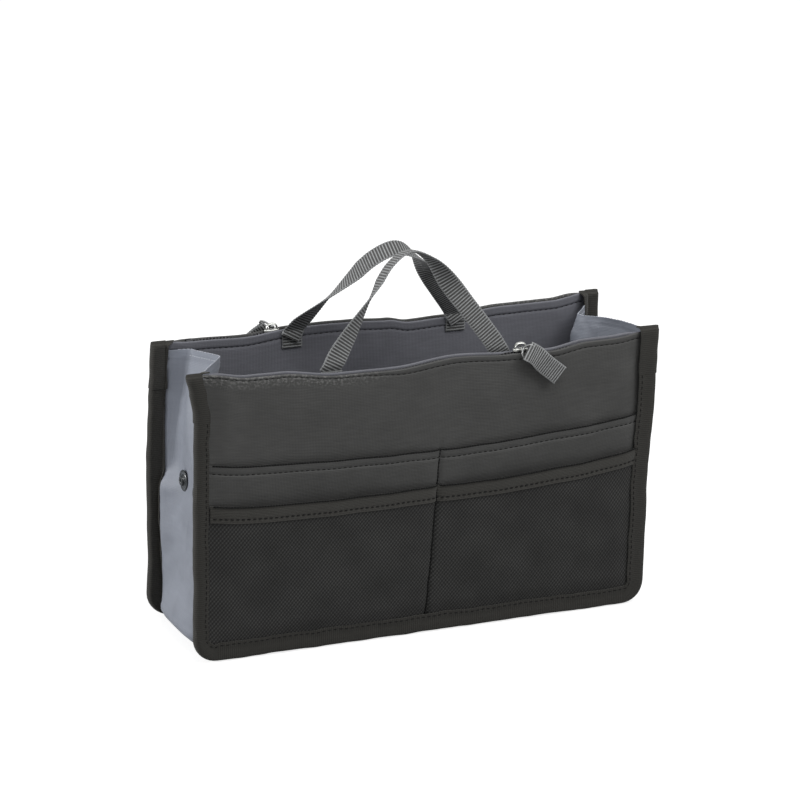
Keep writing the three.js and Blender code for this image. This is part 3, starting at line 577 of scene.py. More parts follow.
def piece(name, mesh, key, sharp=50):
    """The finished mesh as an object at the origin, with its material and smooth faces."""
    bmesh.ops.recalc_face_normals(mesh, faces=mesh.faces[:])
    data = bpy.data.meshes.new(name)
    mesh.to_mesh(data)
    mesh.free()
    data.materials.append(finish(key))
    data.shade_smooth()
    data.set_sharp_from_angle(angle=math.radians(sharp))
    made = bpy.data.objects.new(name, data)
    bpy.context.scene.collection.objects.link(made)
    return made


def stand_for(made, node, body, slot):
    """Hides the node that a piece stands for and hangs the piece on the body that it rides on; the slot is
    not used.
    """
    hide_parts(node)
    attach(made, body)


def lay_grid(mesh, columns, rows, place):
    """A grid whose vertices go where place(column, row) puts them; its UV is (column, row) in metres."""
    uv = mesh.loops.layers.uv.verify()
    wide, tall = len(columns) - 1, len(rows) - 1
    verts = bmesh.ops.create_grid(mesh, x_segments=wide, y_segments=tall, size=0.5)["verts"]
    flat = {}
    for vert in verts:
        column = columns[round((vert.co.x + 0.5) * wide)]
        row = rows[round((vert.co.y + 0.5) * tall)]
        flat[vert] = (column * MM, row * MM)
        vert.co = place(column, row)
    for face in {face for vert in verts for face in vert.link_faces}:
        for loop in face.loops:
            loop[uv].uv = flat[loop.vert]
    return verts


def thicken(mesh, thickness):
    """Gives an open sheet its thickness in millimetres, half on each side."""
    bmesh.ops.recalc_face_normals(mesh, faces=mesh.faces[:])
    mesh.normal_update()
    for vert in mesh.verts:
        vert.co += vert.normal * (thickness * MM / 2)
    bmesh.ops.solidify(mesh, geom=mesh.faces[:], thickness=thickness * MM)


def cloth(name, columns, rows, place, thickness, key):
    """A sheet of cloth laid on a grid and given its thickness in millimetres."""
    mesh = bmesh.new()
    lay_grid(mesh, columns, rows, place)
    thicken(mesh, thickness)
    return piece(name, mesh, key)


def close(mesh, verts):
    """Joins a skin where it meets itself and closes its open ends."""
    bmesh.ops.remove_doubles(mesh, verts=verts, dist=WELD)
    bmesh.ops.holes_fill(mesh, edges=[e for e in mesh.edges if e.is_boundary], sides=0)


def add_tube(mesh, around, stations, place):
    """A closed skin: place(column, station) goes round each station, and the two ends are closed."""
    close(mesh, lay_grid(mesh, around, stations, place))


def add_bar(mesh, line, facets, place):
    """A closed bar along a line of (run, point): place(i, turn) goes round its i-th point."""
    index = {run: i for i, (run, _) in enumerate(line)}
    add_tube(mesh, range(facets + 1), list(index),
             lambda facet, run: place(index[run], 2 * math.pi * facet / facets))


def round_off(mesh, edges, offset, segments):
    """Rounds edges by that many millimetres."""
    bmesh.ops.bevel(mesh, geom=list(edges), offset=offset * MM, offset_type="OFFSET", affect="EDGES",
                    segments=segments, profile=0.5, material=-1)


def add_block(mesh, middle, size, side, offset):
    """A block with rounded edges, its middle and size along (x, n, z) of a wall."""
    verts = bmesh.ops.create_cube(mesh, size=1.0)["verts"]
    for vert in verts:
        vert.co = wall_point(side, *(m + s * c for m, s, c in zip(middle, size, vert.co)))
    round_off(mesh, {edge for vert in verts for edge in vert.link_edges}, offset, 2)


def stitch(mesh, path, gap, radius, length=2.5):
    """Raised stitches along a path of (point, outward normal)."""
    walked, due = 0.0, 0.4
    for (a, up), (b, _) in zip(path, path[1:]):
        run = (b - a).length / MM
        if run == 0:
            continue
        tangent = (b - a).normalized()
        across = up.cross(tangent).normalized()
        turn = Matrix((tangent * (length / 2), across * radius, up * radius)).transposed() * MM
        while due <= walked + run:
            spot = Matrix.Translation(a + tangent * ((due - walked) * MM))
            bmesh.ops.create_icosphere(mesh, subdivisions=1, radius=1.0, matrix=spot @ turn.to_4x4())
            due += length + gap
        walked += run


# Wall surfaces


def rim_at(side, x):
    """Height of the rim at x."""
    return RIM[side] + along(RIM_WAVE[side], x)


def hem_drop(side, face, x):
    """Distance of the hem's stitches below the rim at x."""
    return HEM_DROP[face] - (HEM_TIGHT[side] * smooth(-5, -45, x) if face == 1 else 0.0)


def zip_at(side, x):
    """Height of the zip: it sinks with the rim, and runs level at its ends and where the slider rests."""
    level = max(smooth(14, 7, abs(x - SLIDER_X[side])), smooth(88, 98, abs(x)))
    return RIM[side] + min(0.0, along(RIM_WAVE[side], x)) * (1 - level)


def foot_at(x):
    """Height of a wall sheet's lower edge at x, round the corners."""
    reach = abs(x) - (HALF_LENGTH - CORNER_RADIUS)
    radius = CORNER_RADIUS - SHEET_INSET
    if reach <= 0:
        return FLOOR_GAP + SHEET_INSET
    return FLOOR_GAP + CORNER_RADIUS - math.sqrt(max(0.0, radius * radius - min(reach, radius) ** 2))


def row_height(x, row, nominal, top, zone):
    """Height of a sheet's row at x, where the sheet's nominal height is drawn out to its top edge: rows in
    the zone keep their distance from that edge, and lower ones share the rest."""
    if row > nominal - zone:
        return top - (nominal - row)
    foot = foot_at(x)
    return foot + (top - zone - foot) * row / (nominal - zone)


def spread(x, z):
    """How far a wall's cloths stand off its middle plane: pinched under the binding, wider along the zip."""
    side = smooth(131, 119, abs(x)) * smooth(9, 20, z)
    return side * (1.4 + 1.05 * smooth(115, 150, z))


def drape(side, x, z):
    """Slow swells that a wall's cloths share, none at the binding and the rim, and a pull towards the right
    corner."""
    inside = smooth(128, 100, abs(x)) * smooth(10, 45, z) * smooth(160, 135, z)
    swell = 1.3 * ripple(x, z, SEED[side], 75) + 0.5 * ripple(x, z, SEED[side] + 5, 28)
    pull = 0.9 * dent((x - 112) - 0.62 * (z - 128), 9) * smooth(100, 116, z) * smooth(158, 146, z)
    return inside * swell + pull * smooth(129, 120, abs(x))


def cloth_n(side, face, x, z):
    """Outward place of the outer cloth (face 1) or the lining (face -1)."""
    below = rim_at(side, x) - z
    crimp = 0.22 * ripple(x, 0, SEED[side] + 9 * face, 7) * dent(below - 7, 6)
    seam = hem_drop(side, face, x)
    hem = 0.3 * smooth(seam + 0.4, seam - 0.8, below) - 0.45 * dent(below - seam, 0.7)
    sewn = 0.6 * dent(x - divider_at(side, z), 1.8) * smooth(118, 112, z) if face == 1 else 0.0
    return face * (CLOTH_REST + spread(x, z) + hem + crimp - sewn) + drape(side, x, z)


def divider_at(side, z):
    """Where the pockets' dividing seam stands."""
    low, high = DIVIDER[side]
    return low + (high - low) * z / DIVIDER_TOP + 0.5 * ripple(0, z, SEED[side], 9)


def half_share(side, x, z):
    """0 at a pocket's two sewn sides and 1 at its middle."""
    seam = divider_at(side, z)
    start, end = (-POCKET_SIDE, seam) if x < seam else (seam, POCKET_SIDE)
    return math.sin(math.pi * clamp((x - start) / (end - start)))


def edge_height(side, knots, x):
    """Top edge of a pocket: straight from each side to the divider, with a little slack between."""
    left, middle, right = knots[side]
    seam = DIVIDER[side][1]
    if x < seam:
        share = (x + POCKET_SIDE) / (seam + POCKET_SIDE)
        height = left + (middle - left) * share
    else:
        share = (x - seam) / (POCKET_SIDE - seam)
        height = middle + (right - middle) * share
    return height - 0.9 * math.sin(math.pi * clamp(share)) + 0.35 * ripple(x, 0, SEED[side] + 2, 17)


def slip_n(side, x, z):
    """Outward place of the slip pocket: its mouth stands a little open, its sides are sewn down."""
    top = edge_height(side, SLIP_EDGE, x)
    half = half_share(side, x, z)
    mouth = (0.3 + 2.7 * smooth(78, top, z) ** 1.4) * half ** 0.45
    seam = 0.35 * dent(x - divider_at(side, z), 1.3) + 0.5 * dent(top - z - 4.8, 0.7)
    crimp = 0.25 * ripple(x, 0, SEED[side] + 4, 6) * dent(top - z - 5, 5)
    return cloth_n(side, 1, x, z) + 0.8 + mouth + crimp - seam


def mesh_n(side, x, z):
    """Outward place of the mesh pocket: fuller than the slip pocket and gathered a little at its seams."""
    top = edge_height(side, MESH_EDGE, x)
    half = half_share(side, x, z)
    full = 2.1 * half ** 0.8 * math.sin(math.pi * clamp((z - 8) / (top + 16))) ** 0.8
    full += 2.2 * smooth(50, top, z) ** 1.5 * half ** 0.45
    seam = 0.35 * dent(x - divider_at(side, z), 1.4)
    gather = 0.35 * ripple(x, z, SEED[side] + 6, 16) * half
    gather += 0.3 * ripple(x, 0, SEED[side] + 7, 7) * dent(z - 14, 9)
    return slip_n(side, x, z) + 0.85 + full + gather - seam


# Binding


def edge_point(run, inward):
    """(x, z) on the wall's outline: run along its outer edge from the top left, and inward from it."""
    mid = HALF_LENGTH - CORNER_RADIUS
    low = FLOOR_GAP + CORNER_RADIUS
    radius = CORNER_RADIUS - inward
    if run <= EDGE_SIDE:
        return -HALF_LENGTH + inward, BINDING_TOP - run
    run -= EDGE_SIDE
    if run <= EDGE_BEND:
        turn = run / CORNER_RADIUS
        return -mid - radius * math.cos(turn), low - radius * math.sin(turn)
    run -= EDGE_BEND
    if run <= EDGE_FLOOR:
        return run - mid, FLOOR_GAP + inward
    run -= EDGE_FLOOR
    if run <= EDGE_BEND:
        turn = run / CORNER_RADIUS
        return mid + radius * math.sin(turn), low - radius * math.cos(turn)
    return HALF_LENGTH - inward, low + run - EDGE_BEND


def fold_round(share, inner, outer, lift):
    """(inward, n) on the folded tape: share runs from the inner flange's edge, round the fold, to the outer
    one's."""
    low, high = GRIP[0] - lift, GRIP[1] + 0.2 * lift
    middle, half = (low + high) / 2, (high - low) / 2
    bend = math.pi / 2 * (TAPE_BEND + half) * 0.9
    run = share * (inner + outer + bend)
    if run < inner:
        return inner - run + TAPE_BEND - lift, low
    if run > inner + bend:
        return run - inner - bend + TAPE_BEND - lift, high
    turn = math.pi * (run - inner) / bend
    return TAPE_BEND - lift - TAPE_BEND * math.sin(turn) * 0.82, middle - half * math.cos(turn)


def over_gusset(side, x, z, past):
    """Where a wrapped end's inner flange lies on the gusset, so far past the seam."""
    end = math.copysign(1, x)
    turn = TURN[side]
    lap = lap_depth(turn * end, z) if side == "back" else 0.0
    y = EDGE_Y - 1.0 - past * LAP_REACH / math.hypot(LAP_REACH, lap)
    out = gusset_out(turn * end * SIDE_X, min(z, GUSSET_TOP), 0.0, 0.0, -turn * y)
    return wall_point(side, end * (SIDE_X + out + 0.7), y + WALL_Y, z)


def binding_place(side, lift, inner, outer):
    """Place function of the folded tape, with a slightly uneven edge and the press of its seam. Lifted, it is
    a wrapped end, which closes at the top."""
    seed = SEED[side]

    def place(column, run):
        share = column / 100
        from_end = min(run, EDGE_LENGTH - run)
        low = smooth(150, 182, from_end)
        wave = 0.6 * ripple(run, 0, seed + 1, 17) + 0.5 * ripple(run, 0, seed + 1, 7)
        shift = FLANGE_SHIFT[side][0 if run < EDGE_LENGTH / 2 else 1] * (1 - low)
        inward, n = fold_round(share, inner - 3.0 * low + wave, outer + shift + 3.4 * low + wave, lift)
        crinkle = 0.55 * ripple(run, 0, seed + 8, 23) + 0.25 * ripple(run, 0, seed + 8, 9)
        x, z = edge_point(run, inward + crinkle)
        z += CORNER_LIFT[side][0 if x < 0 else 1] * smooth(90, BINDING_TOP, z)
        puff = 0.3 * ripple(run, share * 30, seed + 3, 8) - 0.4 * dent(inward - 7.6, 0.8)
        closing = smooth(-1.0, 1.2, from_end) if lift else 1.0
        off = n - GRIP_MIDDLE + (puff if n > GRIP_MIDDLE else -puff)
        spot = wall_point(side, x, GRIP_MIDDLE + off * (0.12 + 0.88 * closing), z)
        past = inward + crinkle - SEAM_INSET + 0.8
        if low < 1 and n < 0 and past > 0:
            spot = spot.lerp(over_gusset(side, x, z, past), closing * (1 - low))
        return spot
    return place


# Gusset


def gusset_stations():
    """(length along the strip, x, z, nx, nz, sag) from the left end's hem, under the bag, to the right's."""
    radius = CORNER_RADIUS - SEAM_INSET
    foot = FLOOR_GAP + SEAM_INSET
    heights = steps(GUSSET_TOP, foot + radius + 1, 2.6) + [GUSSET_TOP - d for d in GUSSET_HEM_ROWS]
    left = [(-SIDE_X, z, -1.0, 0.0, 0.0) for z in sorted(heights, reverse=True)]
    for i in range(7):
        turn = i / 6 * math.pi / 2
        nx, nz = -math.cos(turn), -math.sin(turn)
        left.append((-SIDE_X + radius + radius * nx, foot + radius + radius * nz, nx, nz, 0.7 * i / 6))
    flat = -SIDE_X + BASE_EASE
    for x in steps(-SIDE_X + radius + 3, flat, 3):
        left.append((x, foot, 0.0, -1.0, 0.7 + 0.3 * smooth(-SIDE_X + radius, flat, x)))
    base = [(x, foot, 0.0, -1.0, 1.0) for x in steps(flat, -flat, 7)[1:-1]]
    right = [(-x, z, -nx, nz, sag) for x, z, nx, nz, sag in reversed(left)]
    run, rows, last = 0.0, [], None
    for row in left + base + right:
        run += math.dist(row[:2], last[:2]) if last else 0.0
        rows.append((run, *row))
        last = row
    return rows


def lap_depth(end, z):
    """Depth of the lap that the gusset's rear face makes beside its binding, none at the studs and below."""
    return FOLDS[end][2] * clamp((z - LAP_START) / (GUSSET_TOP - LAP_START)) ** 0.65


def fold_depth(end, share, z, y):
    """Depth of the inward fold, opened to that share of its hem: a point between two leaning faces."""
    crest, middle, _ = FOLDS[end]
    away = (y - middle) / (LIP_Y - middle) if y > middle else (middle - y) / (LIP_Y + middle)
    pleat = PLEAT[end] * dent(z - PLEAT_HEIGHT, PLEAT_EXTENT) * max(0.0, 1 - away)
    point = crest * max(0.0, share - away) + pleat
    if y < middle:
        return point
    beside = clamp((LIP_Y + 0.5 - y) / LAP_REACH) * (y - middle) / (LIP_Y - middle)
    return point + lap_depth(end, z) * min(1.0, beside)


def stud_seat(y, z):
    """1 where a press stud holds the cloth flat, fading round it."""
    return dent(abs(y) - SNAP_Y, STUD_SPREAD) * dent(z - SNAP_HEIGHT, STUD_SPREAD)


def gusset_out(x, z, nz, sag, y):
    """How far the strip stands out of its seam plane: inward in the fold, down where it meets the floor."""
    if nz < -0.01:
        return (FLOOR_GAP + SEAM_INSET - 0.3) * sag * clamp((LIP_Y - abs(y)) / (LIP_Y - BASE_FLAT))
    end = -1 if x < 0 else 1
    share = clamp((z - FOLD_START) / (GUSSET_TOP - FOLD_START))
    dip = SIDE_DIP * smooth(40, 85, z) * (1 - share) * smooth(LIP_Y, LIP_Y - DIP_REACH, abs(y))
    swell = SWELL[end] * smooth(96, 82, z) * smooth(8, 60, z)
    swell *= smooth(14, 27, y) * smooth(LIP_Y + 1, LIP_Y - 3, y)
    loose = smooth(LIP_Y, LIP_Y - 8, abs(y)) * smooth(8, 30, z) * (1 - stud_seat(y, z))
    crumple = 1.4 * ripple(y, z, 0.1 * x, 27) + 1.3 * (0.35 - abs(ripple(y, z * 0.8, 0.1 * x + 3, 17)))
    crumple += 0.7 * (0.35 - abs(ripple(y, z, 0.1 * x + 7, 8)))
    crumple *= 1 + WRINKLE[end] * share
    return loose * crumple * (1 - 0.45 * share) + swell - dip - fold_depth(end, share, z, y)


def gusset_place(rows, side):
    """Place function of the strip's half on that side, from its middle to the flange under the binding."""
    spots = {run: rest for run, *rest in rows}
    half = -TURN[side]

    def place(across, run):
        x, z, nx, nz, sag = spots[run]
        y = min(across, EDGE_Y)
        out = across - EDGE_Y if across > EDGE_Y else gusset_out(x, z, nz, sag, half * y)
        if LIP_Y < across <= EDGE_Y:
            out *= (EDGE_Y - across) / (EDGE_Y - LIP_Y)
        end = -1 if x < 0 else 1
        below = GUSSET_TOP - z
        hem = 0.35 * smooth(5.2, 4.4, below) - 0.3 * dent(below - GUSSET_HEM, 0.7)
        rise = HEM_LIFT[end][0 if half < 0 else 1] * y / EDGE_Y
        rise -= HEM_SAG[end] * dent(half * y - FOLDS[end][1], 16)
        rise *= smooth(HEM_FADE, 0, below)
        toward = (half * y + EDGE_Y) / (2 * EDGE_Y)
        lean = (1 - toward) * splay("front", x, z) - toward * splay("back", -x, z)
        lean *= 1 - stud_seat(y, z)
        belly = end * BELLY[end] * dent(z - 11, 19) * abs(nx) ** 0.7 * (1 - min(1.0, y / LIP_Y) ** 4)
        return Vector((x + lean + belly + nx * (out + hem), half * y, z + rise + nz * out)) * MM
    return place


def follow_wall(made):
    """Bakes a gusset piece's transform into its mesh."""
    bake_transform(made)


# Straps


def soft_path(knots, spacing):
    """Points about spacing apart on a smooth line through the knots."""
    ends = [2 * knots[0] - knots[1], *knots, 2 * knots[-1] - knots[-2]]
    points = []
    for p0, p1, p2, p3 in zip(ends, ends[1:], ends[2:], ends[3:]):
        count = max(2, round((p2 - p1).length / spacing))
        for i in range(count):
            t = i / count
            points.append(0.5 * (2 * p1 + (p2 - p0) * t + (2 * p0 - 5 * p1 + 4 * p2 - p3) * t * t
                                 + (3 * p1 - p0 - 3 * p2 + p3) * t ** 3))
    points.append(knots[-1])
    return points


def even(points, spacing):
    """The same line with points evenly spaced: (run, point) pairs."""
    runs = [0.0]
    for a, b in zip(points, points[1:]):
        runs.append(runs[-1] + (b - a).length)
    made, i = [], 0
    for run in steps(0, runs[-1], spacing):
        while i < len(points) - 2 and runs[i + 1] < run:
            i += 1
        share = (run - runs[i]) / max(1e-9, runs[i + 1] - runs[i])
        made.append((run, points[i].lerp(points[i + 1], min(1.0, share))))
    return made


def heading(line, i):
    """Direction of a line of (run, point) at its i-th point."""
    return (line[min(len(line) - 1, i + 1)][1] - line[max(0, i - 1)][1]).normalized()


def web_section(column, run, pitch, width, thickness):
    """(across, through) of a webbing's section: ribs rise from its faces, and its woven edges are round."""
    top = column <= 50
    across = column / 100 if top else (101 - column) / 100 if column < 151 else -0.5
    rib = 0.5 - 0.5 * math.cos(2 * math.pi * run / pitch)
    edge = (1 - abs(2 * across) ** 6) ** 0.5 if abs(across) < 0.5 else 0.0
    through = (thickness / 2) * edge * (0.62 + 0.38 * rib ** 0.7)
    return across * (width - 0.5 + 0.5 * rib), through if top else -through


def strap(name, key, line, frames, webbing, put):
    """Ribbed webbing along a line of (run, point). Frames hold its across and through directions, webbing its
    rib pitch, width and thickness, and put(point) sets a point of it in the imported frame."""
    spots = {run: (point, *directions) for (run, point), directions in zip(line, frames)}

    def place(column, run):
        point, across, through = spots[run]
        a, t = web_section(column, run, *webbing)
        return put(point + across * a + through * t)
    mesh = bmesh.new()
    add_tube(mesh, WEB_AROUND, list(spots), place)
    return piece(name, mesh, key, 70)


# Properties


def length(name, description, size):
    """A length property, its default given in millimetres."""
    return FloatProperty(name=name, description=description, default=size * MM, unit="LENGTH")


def tint(name, description, text):
    """A colour property, its default given as an sRGB hex value."""
    return FloatVectorProperty(name=name, description=description, default=linear(text), subtype="COLOR")


class ORGANISER_PG_sizes(PropertyGroup):
    """Sizes of the soft details, in metres."""

    cloth: length("Cloth", "Thickness of the nylon", 0.5)
    tape: length("Tape", "Thickness of the binding tape", 0.8)
    rib_pitch: length("Rib pitch", "Distance between the webbing's ribs", 1.75)
    webbing: length("Webbing", "Thickness of the webbing at a rib", 1.5)
    tooth_pitch: length("Tooth pitch", "Distance between zip teeth", 2.0)


class ORGANISER_PG_colours(PropertyGroup):
    """Colours of the finishes."""

    wall: tint("Wall cloth", "Outer nylon and slip pocket", "#4b4b4a")
    lining: tint("Lining", "Inner nylon", "#74757c")
    gusset: tint("Gusset", "Folding end and base cloth", "#888d98")
    mesh: tint("Mesh", "Mesh pocket", "#363635")
    hem: tint("Hem", "Hem tape of the mesh pocket", "#3f3e3b")
    binding: tint("Binding", "Edge binding tape", "#32312e")
    # The rib colour is the webbing's grey with a painted highlight on the crests; the gap colour is painted
    # shade between the ribs.
    webbing: tint("Webbing", "Ribs of the handles and tabs", "#a6a8a9")
    webbing_gap_shade: tint("Webbing gap", "Gaps between the ribs", "#474746")
    zip_tape: tint("Zip tape", "Zip tape", "#3a3a3c")
    zip_teeth: tint("Zip teeth", "Zip teeth and end stops", "#3d3d40")
    metal: tint("Slider", "Sliders", "#c4c5c1")
    link: tint("Link", "Wire link of the pulls", "#8b8c8c")
    stud: tint("Press stud", "Press studs", "#3c3f41")
    # The dark thread also draws the painted shadow lines along the pockets' mouths.
    thread: tint("Thread", "Dark sewing thread", "#0e0e0e")
    pale_thread: tint("Pale thread", "Thread of the gusset's hem", "#b3b7bf")


# Pieces


def columns_by_seam(reach, spacing):
    """Columns across a wall, finer beside the pockets' divider."""
    return sorted(set(steps(-reach, reach, spacing)) | set(steps(*DIVIDER_ZONE, 0.7)))


class ORGANISER_OT_wall_cloth(Operator):
    """Makes the outer cloth and the lining of each wall, with their rims rolled in over the zip."""

    bl_idname = "organiser.wall_cloth"
    bl_label = "Wall cloth"

    def execute(self, context):
        """Lays each cloth on a grid, hides the panel that it stands for and hangs it on its wall."""
        columns = columns_by_seam(PANEL_REACH, 2.3)
        thickness = context.scene.organiser_sizes.cloth / MM
        for side in SIDES:
            for face, word, key, slot in (
                (1, "outer", "nylon", "charcoal_nylon"),
                (-1, "inner", "lining", "lining_nylon"),
            ):
                made = cloth(f"{side}_{word}_cloth", columns, self.rows(RIM[side]), self.rolled(side, face),
                             thickness, key)
                stand_for(made, f"{side}_{word}_panel", f"{side}_wall", slot)
        return {"FINISHED"}

    def rows(self, top):
        """Rows of a wall cloth: fine near the hem stitches, then over the rolled rim and down inside it."""
        low = steps(0, top - RIM_ZONE, 2.9) + [top - d for d in PANEL_ROWS]
        return low + [top - 0.6 + i * 0.31 for i in range(8)] + [top + d for d in (2.6, 4.0, 5.4)]

    def rolled(self, side, face):
        """Place function of a wall cloth: flat up to the rim, then rolled over towards the zip."""
        top = RIM[side]

        def place(x, row):
            rim = rim_at(side, x)
            if row <= top - ROLL:
                z = row_height(x, row, top, rim, RIM_ZONE)
                return wall_point(side, x, cloth_n(side, face, x, z), z)
            past = row - (top - ROLL)
            turn = min(math.pi, past / ROLL)
            down = max(0.0, past - math.pi * ROLL)
            n = cloth_n(side, face, x, rim - ROLL) - face * ROLL * (1 - math.cos(turn))
            return wall_point(side, x, n, rim - ROLL + ROLL * math.sin(turn) - down)
        return place


class ORGANISER_OT_pockets(Operator):
    """Makes the slip pocket, the mesh pocket and the mesh pocket's hem of each wall."""

    bl_idname = "organiser.pockets"
    bl_label = "Pockets"

    def execute(self, context):
        """Lays each pocket on a grid from its foot to its own top edge."""
        columns = columns_by_seam(POCKET_REACH, 2.1)
        nylon = context.scene.organiser_sizes.cloth / MM
        for side in SIDES:
            for word, knots, depth, key, slot, thickness in (
                ("slip", SLIP_EDGE, slip_n, "nylon", "charcoal_nylon", nylon),
                ("mesh", MESH_EDGE, mesh_n, "mesh", "black_mesh", MESH_THICKNESS),
            ):
                top = knots[side][0]
                rows = steps(0, top - MOUTH_ZONE, 2.3) + [top - d for d in POCKET_ROWS]
                place = self.pocket(side, knots, depth, top)
                made = cloth(f"{side}_{word}_pocket_cloth", columns, rows, place, thickness, key)
                stand_for(made, f"{side}_{word}_pocket", f"{side}_wall", slot)
                hems = [self.hem_tape(side)] if word == "mesh" else []
        return {"FINISHED"}

    def hem_tape(self, side):
        """The tape folded over the mesh pocket's top edge."""
        hem = cloth(f"{side}_mesh_hem_tape", steps(-HEM_REACH, HEM_REACH, 2.1), HEM_TAPE_ROWS, self.hem(side),
                    HEM_TAPE_THICKNESS, "hem")
        stand_for(hem, f"{side}_mesh_hem", f"{side}_wall", "black_binding")
        return hem

    def pocket(self, side, knots, depth, nominal):
        """Place function of a pocket: its rows shared out between its foot and its top edge."""
        def place(x, row):
            z = row_height(x, row, nominal, edge_height(side, knots, x), MOUTH_ZONE)
            return wall_point(side, x, depth(side, x, z), z)
        return place

    def hem(self, side):
        """Place function of the mesh pocket's hem, which stands just off the mesh."""
        def place(x, row):
            z = edge_height(side, MESH_EDGE, x) - MESH_HEM_HEIGHT + row
            press = 0.2 * (dent(row - 2.6, 0.6) + dent(row - 8.7, 0.5))
            return wall_point(side, x, mesh_n(side, x, z) + 0.75 - press, z)
        return place


class ORGANISER_OT_binding(Operator):
    """Makes each wall's binding, folded round its sides and foot, with a wrapped end at each top corner."""

    bl_idname = "organiser.binding"
    bl_label = "Binding"

    def execute(self, context):
        """Folds a tape along the outline and a short wider one round each end."""
        thickness = context.scene.organiser_sizes.tape / MM
        for side in SIDES:
            tape = cloth(f"{side}_binding_tape", FOLD_SHARES, steps(2, EDGE_LENGTH - 2, 2.4),
                         binding_place(side, 0, *TAPE_FLANGES), thickness, "binding")
            stand_for(tape, f"{side}_binding", f"{side}_wall", "black_binding")
            mesh = bmesh.new()
            place = binding_place(side, WRAP_LIFT, *WRAP_FLANGES)
            for start in (-WRAP_RISE, EDGE_LENGTH - (WRAP_LENGTH - WRAP_RISE)):
                lay_grid(mesh, FOLD_SHARES, self.wrap_rows(start), place)
            thicken(mesh, thickness)
            wrap = piece(f"{side}_binding_ends", mesh, "binding")
            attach(wrap, f"{side}_wall")
        return {"FINISHED"}

    def wrap_rows(self, start):
        """Rows of a wrapped end, closer together at the tape's own end."""
        end = start + WRAP_LENGTH
        fine = {*WRAP_ROWS, *(EDGE_LENGTH - run for run in WRAP_ROWS)}
        return [run for run in sorted(fine | set(steps(start, end, 2.0))) if start <= run <= end]


class ORGANISER_OT_gusset(Operator):
    """Makes the folding strip in two halves that meet on its middle crease."""

    bl_idname = "organiser.gusset"
    bl_label = "Gusset"

    def execute(self, context):
        """Lays each half from the crease to the flange that the binding holds."""
        rows = gusset_stations()
        across = steps(0, LIP_Y, 1.9) + [EDGE_Y + d for d in GUSSET_FLANGE_ROWS]
        for side in SIDES:
            made = cloth(f"{side}_gusset_half", across, [row[0] for row in rows], gusset_place(rows, side),
                         context.scene.organiser_sizes.cloth / MM, "gusset")
            if side == "front":
                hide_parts("gusset_strip")
            follow_wall(made)
        return {"FINISHED"}


class ORGANISER_OT_press_studs(Operator):
    """Makes the press studs of both ends: stud and socket outside, a cap behind each."""

    bl_idname = "organiser.press_studs"
    bl_label = "Press studs"

    def execute(self, context):
        """Spins each half about the line through the cloth."""
        for word, end in ENDS:
            for kind, profile in STUD_PROFILES.items():
                node = f"{word}_snap_{kind}"
                y = SNAP_Y if kind.startswith("stud") else -SNAP_Y
                stand_for(self.turned(f"{node}_moulding", profile, end, y), node, "gusset", "black_stud")
        return {"FINISHED"}

    def turned(self, name, profile, end, y):
        """A turned piece whose height runs out of the bag along end * X."""
        mesh = bmesh.new()
        middle = Vector((end * SNAP_X, y, SNAP_HEIGHT)) * MM
        verts = [mesh.verts.new(Vector((end * (SNAP_X + h), y + r, SNAP_HEIGHT)) * MM) for r, h in profile]
        edges = [mesh.edges.new(pair) for pair in zip(verts, verts[1:])]
        bmesh.ops.spin(mesh, geom=verts + edges, cent=middle, axis=(1, 0, 0), angle=2 * math.pi,
                       steps=STUD_FACETS, use_merge=True)
        close(mesh, mesh.verts[:])
        return piece(name, mesh, "stud", 35)


